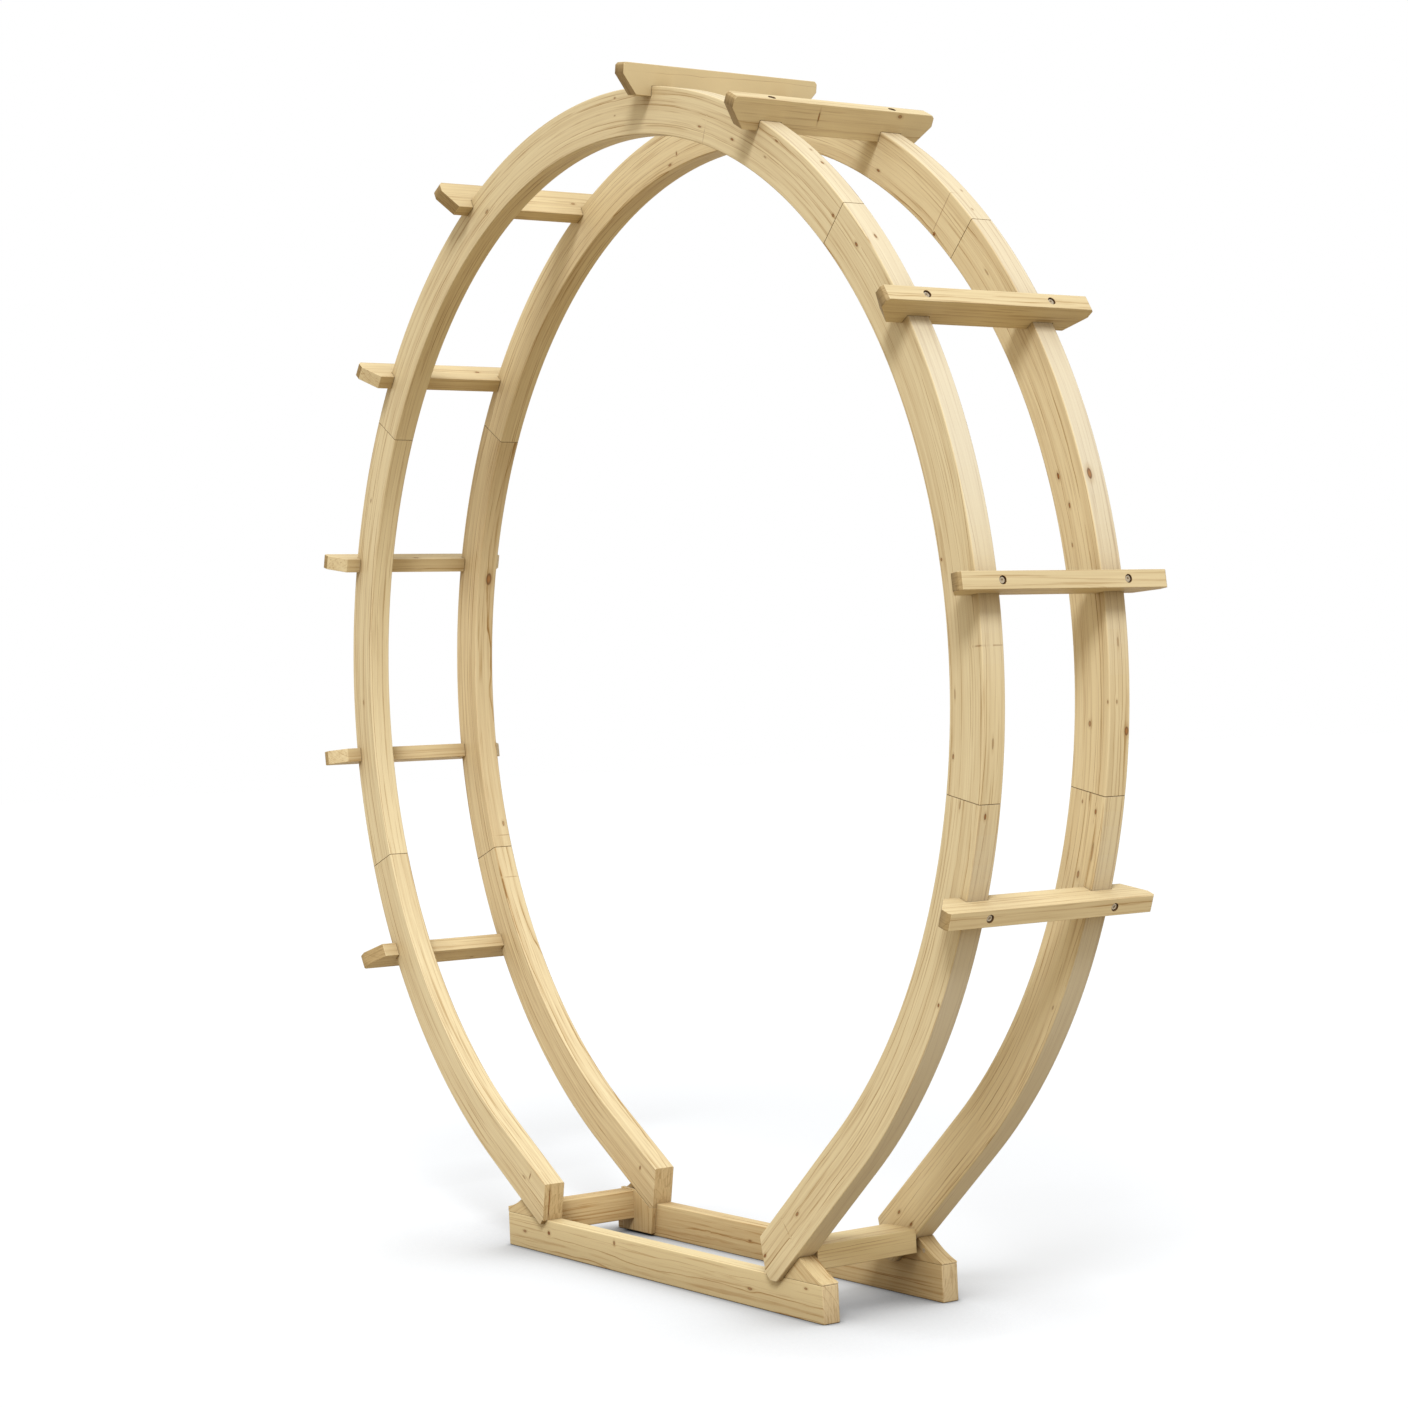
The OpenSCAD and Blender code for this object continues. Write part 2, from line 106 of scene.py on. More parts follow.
# ---- finish of the edges, in millimetres ----
RING_EASE = 2.6
SLAT_EASE = 1.0
BASE_EASE = 2.2
CUT_EASE = 0.8
RIM_EASE = 0.7
JOINT_EASE = 0.8
LEAST_EASE = 0.2
CORNER_TURNS = 3
SHARP_ANGLE = math.radians(40)
SCREW_SHARP_ANGLE = math.radians(35)
# Distance between a ring's sections, and the size of the faces that carry one mark each.
STATION = 24
CELL_LONG = 40
CELL_WIDE = 20
LONG_SIDE = 200
# How near points count as one, and as on a cutting plane.
MERGE = 1e-3
ON_PLANE = 1e-4

# ---- random numbers: each piece draws from its own seed ----
RING_SEED = 100
BASE_SEED = 200
RAIL_SEED = {"right": 221, "left": 222}
PLATE_SEED = 223
SLAT_SEED = 300

# ---- knots and checks that the eye meets first ----
# On a ring: angle from the top, place across from the inner edge, depth from the front
# face, then length along the grain, width across it and strength.
RING_MARKS = {
    "front": (
        (-23, 30, 0, 13, 6, 0.6), (5, 74, 0, 6, 3, 0.7), (5, 41, 0, 5, 2, 0.6),
        (21, 29, 0, 10, 3, 0.8), (22, 16, 0, 1.4, 22, 0.4), (27, 31, 0, 9, 4, 0.9),
        (33, 37, 0, 8, 3, 0.5), (34, 75, 0, 9, 3, 0.8), (37, 88, 33, 7, 4, 0.5),
        (39.5, 88, 28, 8, 4, 0.9), (45.5, 54, 0, 6, 5, 0.8), (50, 60, 0, 9, 5, 0.9),
        (50.5, 88, 20, 9, 4, 0.8), (81, 7, 0, 5, 4, 0.8), (89, 79, 0, 2, 15, 0.5),
        (89, 88, 24, 1.6, 34, 0.4), (93, 15, 0, 16, 3, 0.5), (97, 88, 20, 16, 3, 0.6),
        (98.5, 13, 0, 8, 4, 0.8), (102.5, 39, 0, 14, 3, 0.6), (103, 88, 14, 9, 4, 0.9),
        (120, 83, 0, 6, 4, 0.9), (-90, 40, 0, 10, 4, 0.6), (-66, 55, 0, 8, 4, 0.6)),
    "rear": (
        (-7, 12, 0, 11, 4, 0.8), (-5.5, 27, 0, 4, 7, 0.8), (32, 24, 0, 9, 4, 0.9),
        (42.5, 88, 31, 6, 3, 0.5), (43, 47, 0, 1.6, 84, 0.45), (43.3, 6, 0, 8, 5, 1.0),
        (45.5, 88, 19, 6, 3, 0.5), (52, 50, 0, 14, 3, 0.5), (73.5, 27, 0, 11, 5, 1.0),
        (74.5, 88, 13, 17, 9, 0.8), (76.5, 38, 0, 9, 4, 0.9), (80, 27, 0, 7, 3, 0.7),
        (89, 88, 22, 14, 3, 0.5), (94, 84, 0, 5, 3, 0.7), (94, 88, 16, 6, 3, 0.6),
        (96, 40, 0, 9, 6, 0.7), (96.5, 88, 38, 13, 8, 0.8), (102.3, 51, 0, 16, 3, 0.5),
        (103, 34, 0, 6, 3, 0.7), (103.5, 69, 0, 8, 4, 0.9), (107, 74, 0, 30, 4, 0.5),
        (109.5, 49, 0, 12, 5, 0.7), (122, 75, 0, 7, 3, 0.5), (-75, 0, 27, 26, 13, 0.8),
        (-106, 0, 34, 11, 5, 0.6), (-107.5, 0, 30, 1.6, 26, 0.4), (-113, 0, 25, 1.6, 30, 0.35))}
# On a leg: x, depth from the front face and z, then as above.
LEG_MARKS = {
    ("front", "left"): (
        (-415, 0, 154, 3, 12, 0.8), (-440, 0, 150, 12, 4, 0.5),
        (-361, 12, 104, 70, 2.2, 1.0, 34)),
    ("front", "right"): (
        (537, 0, 189, 10, 5, 0.8), (430, 0, 102, 8, 5, 0.9), (500, 0, 160, 1.4, 18, 0.4)),
    ("rear", "left"): ((-415, 0, 139, 5, 8, 0.8),),
    ("rear", "right"): ((482, 0, 152, 9, 5, 0.8), (517, 0, 134, 8, 4, 0.8))}
# On a bearer's front face: x and z.
BEARER_MARKS = {
    "front": (
        (-464, 35, 12, 5, 0.7), (-365, 43, 8, 7, 1.0), (-110, 55, 6, 8, 0.8),
        (361, 32, 14, 5, 0.7), (539, 57, 9, 4, 0.7)),
    "rear": ((-28, 34, 10, 4, 0.7), (250, 48, 8, 4, 0.5))}
# On a slat's lower side: place along it and place across from its inner face.
SLAT_MARKS = {7: ((185, 35, 2.4, 17, 0.9), (360, 50, 8, 6, 0.7))}
# How much darker a piece is than the rest of its kind. Below 0 it is paler.
# The rear bearer's and the left rail's extra darkness, and half of it on the foot plate, is
# painted shade from the pieces round them.
BEARER_TONE_AND_SHADE = {"front": -3.0, "rear": 4.0}
WEDGE_TONE = {"front": 1.5, "rear": 2.0}
RAIL_TONE_AND_SHADE = {"right": -2.0, "left": 4.5}
RING_TONE = {("rear", "side_left"): 2.0, ("rear", "leg_left"): 1.5, ("front", "leg_left"): 1.0}
SLAT_TONE = {6: -6.5, 7: 0.0}
# Slats whose bevels read like their long sides, not like end grain, and the power that a
# face's slant to the grain is raised to there.
PLANED_BEVELS = (2, 3, 4)
PLANED_POWER = 4

X_AXIS = Vector((1, 0, 0))
Y_AXIS = Vector((0, 1, 0))
Z_AXIS = Vector((0, 0, 1))


# ---- where things are ----
def radial(degrees):
    """Unit vector out from the rings' centre at an angle from the top, clockwise."""
    a = math.radians(degrees)
    return Vector((math.sin(a), 0, math.cos(a)))


def along(degrees):
    """Unit vector along the ring, clockwise, at an angle from the top."""
    a = math.radians(degrees)
    return Vector((math.cos(a), 0, -math.sin(a)))


def on_ring(degrees, radius, y):
    return Vector((0, y, RING_Z)) + radial(degrees) * radius


def foot_x(hand, z):
    """Distance from the rings' centre line to the inner end of a foot at height z."""
    base = SIGN[hand] * BASE_SHIFT
    return base + FOOT_INNER - (z - BEARER_H) * math.tan(math.radians(FOOT_TILT))


def foot_out(hand):
    return foot_x(hand, BEARER_H) + FOOT_LEN[hand]


def leg_angle(hand):
    """Angle where a leg leaves the circle to run straight down to its foot."""
    x = foot_out(hand)
    z = RING_Z - BEARER_H
    return math.degrees(math.atan2(x, -z) - math.acos(RING_R / math.hypot(x, z)))


def leg_out_x(hand, z):
    return foot_out(hand) - (z - BEARER_H) / math.tan(math.radians(leg_angle(hand)))


# ---- meshes ----
def rounded_rect(width, height, ease, inset=0.0, across=1, up=1):
    """Outline of a rectangle from the origin with round corners and split sides."""
    e = max(ease - inset, LEAST_EASE)
    x0, x1, y0, y1 = inset, width - inset, inset, height - inset
    corners = (
        (x1 - e, y0 + e, -90), (x1 - e, y1 - e, 0),
        (x0 + e, y1 - e, 90), (x0 + e, y0 + e, 180))
    points = []
    for i, (cx, cy, start) in enumerate(corners):
        for k in range(CORNER_TURNS + 1):
            a = math.radians(start + 90 * k / CORNER_TURNS)
            points.append((cx + e * math.cos(a), cy + e * math.sin(a)))
        splits = up if i % 2 == 0 else across
        for k in range(1, splits):
            share = k / splits
            side = (
                (x1, height * share), (width * (1 - share), y1),
                (x0, height * (1 - share)), (width * share, y0))
            points.append(side[i])
    return points


def add_skin(bm, sections):
    """Adds a closed skin over a row of outlines with the same number of points."""
    rows = [[bm.verts.new(p) for p in section] for section in sections]
    for a, b in zip(rows, rows[1:]):
        for i in range(len(a)):
            j = (i + 1) % len(a)
            bm.faces.new((a[i], a[j], b[j], b[i]))
    bm.faces.new(list(reversed(rows[0])))
    bm.faces.new(rows[-1])


def loft(sections):
    bm = bmesh.new()
    add_skin(bm, sections)
    bmesh.ops.recalc_face_normals(bm, faces=bm.faces)
    return bm


def prism(outline, place, depth):
    """Closed block between two copies of an outline, put in space by place(p, q, t)."""
    return loft([[place(p, q, t) for p, q in outline] for t in (0, depth)])


def ease_edges(bm, width, turns=2, wanted=None):
    """Rounds the outer edges that are sharper than SHARP_ANGLE."""
    edges = []
    for edge in bm.edges:
        if len(edge.link_faces) == 2 and edge.is_convex:
            if edge.calc_face_angle(0) > SHARP_ANGLE and (wanted is None or wanted(edge)):
                edges.append(edge)
    bmesh.ops.bevel(
        bm, geom=edges, offset=width, segments=turns, profile=0.5,
        affect="EDGES", clamp_overlap=True)


def split_faces(bm, axis, low, high, step):
    """Cuts the skin, without opening it, by planes a step apart along an axis."""
    count = max(1, round((high - low) / step))
    for i in range(1, count):
        at = axis * (low + (high - low) * i / count)
        geometry = bm.verts[:] + bm.edges[:] + bm.faces[:]
        bmesh.ops.bisect_plane(bm, geom=geometry, plane_co=at, plane_no=axis, dist=ON_PLANE)


def cut_away(bm, cutters):
    """Takes closed cutter meshes away from a closed mesh, and frees the cutters."""
    body = object_from(bm, "body")
    for i, cutter in enumerate(cutters):
        tool = object_from(cutter, f"cutter_{i}")
        cut = body.modifiers.new("cut", "BOOLEAN")
        cut.operation = "DIFFERENCE"
        cut.solver = "EXACT"
        cut.object = tool
        bpy.context.view_layer.update()
        mesh = bpy.data.meshes.new_from_object(
            body.evaluated_get(bpy.context.evaluated_depsgraph_get()))
        body.modifiers.clear()
        body.data = mesh
        bpy.data.objects.remove(tool)
    out = bmesh.new()
    out.from_mesh(body.data)
    bpy.data.objects.remove(body)
    bmesh.ops.remove_doubles(out, verts=out.verts, dist=MERGE)
    return out


def object_from(bm, name):
    """An object in the scene with the mesh, which is freed."""
    mesh = bpy.data.meshes.new(name)
    bm.to_mesh(mesh)
    bm.free()
    obj = bpy.data.objects.new(name, mesh)
    bpy.context.scene.collection.objects.link(obj)
    return obj


def box_between(low, high):
    bm = bmesh.new()
    bmesh.ops.create_cube(bm, size=1)
    low, high = Vector(low), Vector(high)
    for v in bm.verts:
        v.co = Vector((low[i] + (v.co[i] + 0.5) * (high[i] - low[i]) for i in range(3)))
    return bm


# ---- grain, marks and pieces ----
# A mark this near to the front or back lies flat in it and reaches this deep. Marks are
# drawn a little larger than read.
FACE_TOUCH = 2
KNOT_DEPTH = 12
MARK_LONG = 1.2
MARK_WIDE = 1.15
# Random knots: least distance from an end, then ranges of the length, the width as a share
# of it, the place as a share of the piece's width, and the strength.
KNOT_FROM_END = 30
KNOT_LENGTH = (7, 15)
KNOT_SHAPE = (0.45, 0.7)
KNOT_ACROSS = (0.15, 0.85)
KNOT_STRENGTH = (0.5, 0.9)
# How far along its log a piece may start, and from there each layer after the one before.
LOG_START = 9000
LAYER_STEP = 700
# How far off the heart lies, and the angle of its lean in degrees.
HEART_FAR = (60, 120)
LAYER_LEAN = (28, 58)
BOARD_LEAN = (30, 60)
BEARER_LEAN = (50, 70)
PLATE_LEAN = (80, 88)
# Painted light on a ring's outer faces, by the height of its normal: from, and over how much.
ABOVE = (-0.05, 0.35)
BELOW = (-0.2, 0.2)
TOP_SPARED = 1.25


class Timber:
    """How the grain runs in one piece: a map from a place in it to along, across, depth.

    layers is the number of glued layers across it. Each has its own heart, the line that
    its growth rings go round, and its own tone. The heart lies off the piece, at an angle
    of lean from straight across it to straight behind it. marks are knots and checks, each
    a place on the skin, a length along the grain, a width across it and a strength. seams
    are the places along the grain where the piece is glued to the next.
    """

    def __init__(
            self, seed, lad, direction, size, layers=1, lean=LAYER_LEAN, marks=(), knots=2,
            back=1, tone=0.0):
        self.rng = random.Random(seed)
        self.lad = lad
        self.direction = direction
        self.layers = layers
        self.width = size[1] / layers
        self.start = self.rng.uniform(0, LOG_START)
        self.hearts = []
        self.tones = []
        for _ in range(layers):
            far = self.rng.uniform(*HEART_FAR)
            tilt = math.radians(self.rng.uniform(*lean))
            aside = far * math.cos(tilt) * self.rng.choice((-1, 1))
            self.hearts.append((aside, far * math.sin(tilt) * self.rng.choice((-1, 1))))
            self.tones.append(tone + self.rng.uniform(-1, 1))
        self.seams = ()
        self.end_power = 1
        self.size = size
        self.marks = [self.mark(lad(place), *rest) for place, *rest in marks]
        for _ in range(knots):
            self.marks.append(self.random_knot(back))

    def mark(self, centre, length, width, strength, deep=KNOT_DEPTH):
        """Centre, radii and strength of a mark that lies flat in the face it is on."""
        length, width = length * MARK_LONG, width * MARK_WIDE
        on_side = min(centre[2], self.size[2] - centre[2]) < FACE_TOUCH
        flat = (width / 2, deep) if on_side else (deep, width / 2)
        return centre, (length / 2, *flat), strength

    def random_knot(self, back):
        """A small knot on the side that is seen least, the front (0) or the back (1)."""
        low, high = self.size[0]
        at = self.rng.uniform(low + KNOT_FROM_END, high - KNOT_FROM_END)
        length = self.rng.uniform(*KNOT_LENGTH)
        across = self.rng.uniform(*KNOT_ACROSS) * self.size[1]
        width = length * self.rng.uniform(*KNOT_SHAPE)
        strength = self.rng.uniform(*KNOT_STRENGTH)
        return self.mark((at, across, back * self.size[2]), length, width, strength)

    def painted_light(self, face):
        """How much painted light a face gets: the rings' outer faces that turn up, and those that
        turn down, are painted paler than the rest.
        """
        if self.layers == 1:
            return 0
        angle = math.degrees(math.atan2(face.center.x, face.center.z - RING_Z))
        outward = min(1, max(0, face.normal.dot(radial(angle)) * 4 - 3))
        up = face.normal.z
        above = min(1, max(0, (up - ABOVE[0]) / ABOVE[1])) * (TOP_SPARED - up)
        below = min(1, max(0, (BELOW[0] - up) / BELOW[1]))
        return outward * max(above, below)

    def layer_of(self, across):
        return min(self.layers - 1, max(0, int(across // self.width)))

    def mark_for(self, lad):
        """The mark nearest to a place, by the distance to the box round the mark."""
        best, least = None, 1e9
        for mark in self.marks:
            gap = [max(0, abs(lad[i] - mark[0][i]) - mark[1][i]) for i in range(3)]
            distance = math.hypot(*gap)
            if distance < least:
                best, least = mark, distance
        return best


# Where a piece has no mark, it is this far off. Then, how dark joints are, and how strong the
# painted shade is in the walls of screw holes.
FAR = (99.0, 99.0, 99.0)
HOLE_SHADE = 0.92
JOINT_DARK = 0.60
CORNER_MEASURES = ("grain", "mark")
FACE_MEASURES = ("mark_strength", "tone", "end", "seam_and_hole_shade", "painted_light")


def wooden(name, bm, timber, material, nodes, sunk=None):
    """Turns a mesh in millimetres into a finished wooden piece that stands for its node.

    sunk says whether a place is in the wall of a hole, which gets painted shade.
    """
    mesh = bpy.data.meshes.new(name)
    bm.normal_update()
    bm.to_mesh(mesh)
    bm.free()
    for label in CORNER_MEASURES:
        mesh.attributes.new(label, "FLOAT_VECTOR", "CORNER")
    for label in FACE_MEASURES:
        mesh.attributes.new(label, "FLOAT", "FACE")
    grain, mark = [mesh.attributes[label].data for label in CORNER_MEASURES]
    strength, tone, end, seam_and_hole_shade, painted_light = [
        mesh.attributes[label].data for label in FACE_MEASURES]
    lads = [timber.lad(v.co) for v in mesh.vertices]
    for face in mesh.polygons:
        centre = sum((Vector(lads[v]) for v in face.vertices), Vector()) / len(face.vertices)
        layer = timber.layer_of(centre[1])
        heart = timber.hearts[layer]
        nearest = timber.mark_for(centre)
        tone[face.index].value = timber.tones[layer]
        strength[face.index].value = nearest[2] if nearest else 0
        steep = abs(face.normal.dot(timber.direction(face.center)))
        end[face.index].value = steep ** timber.end_power
        at_joint = any(abs(centre[0] - s) < JOINT_EASE for s in timber.seams)
        in_hole = sunk and sunk(face.center)
        # Joints get their dark glue line; the walls of screw holes get painted shade in the same
        # colour.
        seam_and_hole_shade[face.index].value = HOLE_SHADE if in_hole else JOINT_DARK * at_joint
        painted_light[face.index].value = timber.painted_light(face)
        for corner in face.loop_indices:
            lad = lads[mesh.loops[corner].vertex_index]
            middle = timber.width * (layer + 0.5)
            grain[corner].vector = Vector((
                lad[0] + timber.start + layer * LAYER_STEP,
                lad[1] - middle + heart[0],
                lad[2] + heart[1])) * MM
            offset = FAR
            if nearest:
                offset = [(lad[i] - nearest[0][i]) / nearest[1][i] for i in range(3)]
            mark[corner].vector = offset
    mesh.transform(Matrix.Scale(MM, 4))
    mesh.polygons.foreach_set("use_smooth", [True] * len(mesh.polygons))
    mesh.set_sharp_from_angle(angle=SHARP_ANGLE)
    obj = bpy.data.objects.new(name, mesh)
    bpy.context.scene.collection.objects.link(obj)
    normals = obj.modifiers.new("normals", "WEIGHTED_NORMAL")
    normals.keep_sharp = True
    mesh.materials.append(material)
    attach(obj, "root")
    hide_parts(*nodes)
    return obj


# ---- materials ----
def srgb(r, g, b):
    """Linear colour from red, green and blue as 0 to 255."""
    def linear(value):
        c = value / 255
        return c / 12.92 if c <= 0.04045 else ((c + 0.055) / 1.055) ** 2.4
    return (linear(r), linear(g), linear(b), 1)


RING_PALE, RING_DARK = srgb(253, 234, 188), srgb(186, 146, 87)
BASE_PALE, BASE_DARK = srgb(255, 234, 182), srgb(196, 149, 86)
SLAT_PALE, SLAT_DARK = srgb(247, 227, 180), srgb(186, 145, 86)
BEECH_PALE, BEECH_DARK = srgb(222, 182, 132), srgb(180, 132, 86)
END_PALE, END_DARK = srgb(234, 209, 160), srgb(178, 144, 94)
BASE_END_PALE, BASE_END_DARK = srgb(252, 230, 184), srgb(198, 164, 116)
SLAT_END_PALE, SLAT_END_DARK = srgb(194, 166, 116), srgb(146, 116, 70)
ZINC_DARK, ZINC_PALE = srgb(176, 158, 130), srgb(240, 228, 204)
LINE = srgb(150, 108, 58)
# Colour of the painted light on the rings' outer faces.
PAINTED_LIGHT = srgb(248, 241, 222)
KNOT = srgb(172, 110, 50)
KNOT_RIM = srgb(104, 60, 22)
# Colour of the dark joints, also used for the painted shade in the walls of screw holes.
SEAM_AND_HOLE_SHADE = srgb(112, 78, 40)
# Painted shade under cover: what a wholly covered place keeps of its colour, and how far off the
# cover may be.
PAINTED_SHADE_KEEPS = (0.32, 0.26, 0.20)
PAINTED_SHADE_REACH = 0.12


class Graph:
    """Short names for making the nodes of a material or of the world."""

    def __init__(self, owner):
        owner.use_nodes = True
        self.owner = owner
        self.tree = owner.node_tree

    def put(self, socket, value):
        if isinstance(value, bpy.types.NodeSocket):
            self.tree.links.new(value, socket)
        else:
            socket.default_value = value

    def fill(self, node, *values):
        """Fills a node's inputs in their order."""
        for socket, value in zip(node.inputs, values):
            self.put(socket, value)
        return node

    def fill_named(self, node, **values):
        """Fills a node's inputs by their names, in which _ stands for a space."""
        for name, value in values.items():
            self.put(node.inputs[name.replace("_", " ")], value)
        return node

    def node(self, kind, *values, **fields):
        """A new node with its fields set and its inputs filled in their order."""
        node = self.tree.nodes.new("ShaderNode" + kind)
        for field, value in fields.items():
            setattr(node, field, value)
        return self.fill(node, *values)

    def math(self, operation, *values):
        return self.node("Math", *values, operation=operation).outputs[0]

    def vector(self, operation, *values):
        node = self.node("VectorMath", *values, operation=operation)
        return node.outputs["Value" if operation == "LENGTH" else 0]

    def attribute(self, name, output):
        return self.node("Attribute", attribute_name=name).outputs[output]

    def noise(self, at, stretch, detail=2.0, rough=0.5):
        place = self.vector("MULTIPLY", at, stretch)
        node = self.node("TexNoise")
        self.fill_named(node, Vector=place, Scale=1, Detail=detail, Roughness=rough)
        return node.outputs["Fac"]

    def ramp(self, value, *stops):
        """Value through a curve of straight steps, each stop a place and a height."""
        node = self.node("ValToRGB", value)
        marks = node.color_ramp.elements
        while len(marks) < len(stops):
            marks.new(1)
        for mark, (place, height) in zip(marks, stops):
            mark.position = place
            mark.color = (height, height, height, 1)
        return node.outputs[0]

    def fade(self, value, start, stop):
        """1 below start, 0 above stop, smooth between."""
        node = self.node("MapRange", interpolation_type="SMOOTHSTEP")
        self.fill_named(node, Value=value, From_Min=start, From_Max=stop, To_Min=1, To_Max=0)
        return node.outputs[0]

    def mix(self, share, a, b):
        node = self.node("Mix", data_type="RGBA")
        return self.fill_named(node, Factor=share, A=a, B=b).outputs["Result"]

    def clamped(self, value):
        return self.math("MINIMUM", self.math("MAXIMUM", value, 0.0), 1.0)

    def centred(self, noise, weight):
        """A noise from 0 to 1, made to run from minus to plus half of a weight."""
        return self.math("MULTIPLY_ADD", noise, weight, -weight / 2)

    def openness(self, distance, power):
        """How open a place is within a distance, 1 in the open and 0 under cover."""
        node = self.fill_named(self.node("AmbientOcclusion", samples=12), Distance=distance)
        return self.math("POWER", node.outputs["AO"], power)

    def scaled(self, colour, factor):
        node = self.node("VectorMath", colour, operation="SCALE")
        return self.fill_named(node, Scale=factor).outputs[0]

    def seen_by(self, *rays):
        """1 for rays of the kinds named, such as those from the camera, and 0 for others."""
        path = self.node("LightPath")
        share = path.outputs[rays[0]]
        for ray in rays[1:]:
            share = self.math("MAXIMUM", share, path.outputs[ray])
        return share


# Noises in the wood: repeats in a metre along, across and through it, detail, roughness.
WANDER = (1.5, 8, 8), 2, 0.5
RIPPLE = (16, 60, 60), 2, 0.5
FIBRE = (7, 360, 360), 3, 0.62
THIN_LINE = (4, 210, 210), 3, 0.6
STREAK = (1.8, 110, 110), 3, 0.55
PALE_STREAK_AND_SHEEN = (2.2, 95, 95), 3, 0.5
CLOUD = (1.2, 7, 7), 2, 0.5
SAW_LINE = (12, 26, 330), 2, 0.55
# How far the first two move a growth ring, in metres.
WANDER_BY = 0.026
RIPPLE_BY = 0.0024
# A knot pushes the growth rings aside, less with the square of the distance.
KNOT_FALL = -0.16
KNOT_PUSH = (0.0, 0.0022, 0.0022)
# Growth rings: how unevenly they are spaced, their shade from early to late wood, how it
# varies between them and how it breaks up along the grain.
UNEVEN = 0.55
UNEVEN_BY = 2.6
LATE = ((0.0, 0.05), (0.60, 0.0), (0.84, 0.28), (0.94, 1.0), (1.0, 0.05))
LATE_POWER = 2.2
LATE_RANGE = (0.10, 0.95)
BREAK_LENGTH = 7.0
BREAK_ROW = 3.7
BROKEN = ((0.36, 0.25), (0.58, 1.0))
# How far each thing moves the shade from pale (0) to dark (1), and where LINE comes in.
SHADE = 0.09
STREAK_SHADE = 0.75
FIBRE_SHADE = 0.46
THIN_SHADE = 0.42
CLOUD_SHADE = 0.34
TONE_SHADE = 0.06
LINE_FROM = 0.85
# The same for end grain, and the slant to the grain from which a face counts as such.
SAW_SHADE = 0.45
SAW_LATE = 0.35
SAW_TONE = -0.03
SAW_PLANED = 0.40
END_SLANT = (0.45, 0.75)


def growth_rings(g, grain, mark, far, spacing):
    """The late wood, 0 to 1: growth rings round the heart that bend round the knots."""
    near = g.math("EXPONENT", g.math("MULTIPLY", g.math("MULTIPLY", far, far), KNOT_FALL))
    push = g.vector("MULTIPLY", g.scaled(mark, near), KNOT_PUSH)
    bent = g.vector("SUBTRACT", grain, push)
    length, *off_heart = g.node("SeparateXYZ", bent).outputs[:]
    radius = g.math("SQRT", g.math("ADD", *[g.math("MULTIPLY", p, p) for p in off_heart]))
    wander = g.math("MULTIPLY", g.noise(grain, *WANDER), WANDER_BY)
    ripple = g.math("MULTIPLY", g.noise(grain, *RIPPLE), RIPPLE_BY)
    turn = g.math("DIVIDE", g.math("ADD", radius, g.math("ADD", wander, ripple)), spacing)
    row = g.node("CombineXYZ", g.math("MULTIPLY", turn, UNEVEN), 0.0, 0.0).outputs[0]
    uneven = g.noise(row, (1, 1, 1), 1)
    turn = g.math("MULTIPLY_ADD", uneven, UNEVEN_BY, turn)
    ring = g.math("FLOOR", turn)
    chance = g.fill_named(g.node("TexWhiteNoise", noise_dimensions="1D"), W=ring)
    least, more = LATE_RANGE
    weight = g.math(
        "MULTIPLY_ADD", g.math("POWER", chance.outputs["Value"], LATE_POWER), more, least)
    place = g.node(
        "CombineXYZ", g.math("MULTIPLY", length, BREAK_LENGTH),
        g.math("MULTIPLY", ring, BREAK_ROW), 0.0).outputs[0]
    broken = g.ramp(g.noise(place, (1, 1, 1), 2), *BROKEN)
    profile = g.ramp(g.math("FRACT", turn), *LATE)
    return g.math("MULTIPLY", g.math("MULTIPLY", profile, weight), broken)


def planed_shade(g, grain, late, fibre, lines):
    """How dark planed wood is, 0 to 1 and beyond."""
    thin = g.ramp(g.noise(grain, *THIN_LINE), (0.57, 0.0), (0.66, 1.0))
    shade = g.math("MULTIPLY_ADD", late, lines, SHADE)
    shade = g.math("ADD", shade, g.centred(g.noise(grain, *STREAK), STREAK_SHADE))
    shade = g.math("ADD", shade, g.centred(fibre, FIBRE_SHADE))
    shade = g.math("MULTIPLY_ADD", thin, THIN_SHADE, shade)
    shade = g.math("ADD", shade, g.centred(g.noise(grain, *CLOUD), CLOUD_SHADE))
    return g.math("MULTIPLY_ADD", g.attribute("tone", "Fac"), TONE_SHADE, shade)


def sawn_shade(g, grain, late, planed):
    """How dark end grain is, 0 to 1."""
    saw = g.ramp(g.noise(grain, *SAW_LINE), (0.50, 0.0), (0.62, 1.0))
    shade = g.math("MULTIPLY_ADD", saw, SAW_SHADE, g.math("MULTIPLY", late, SAW_LATE))
    shade = g.math("MULTIPLY_ADD", g.attribute("tone", "Fac"), SAW_TONE, shade)
    return g.clamped(g.math("MULTIPLY_ADD", planed, SAW_PLANED, shade))


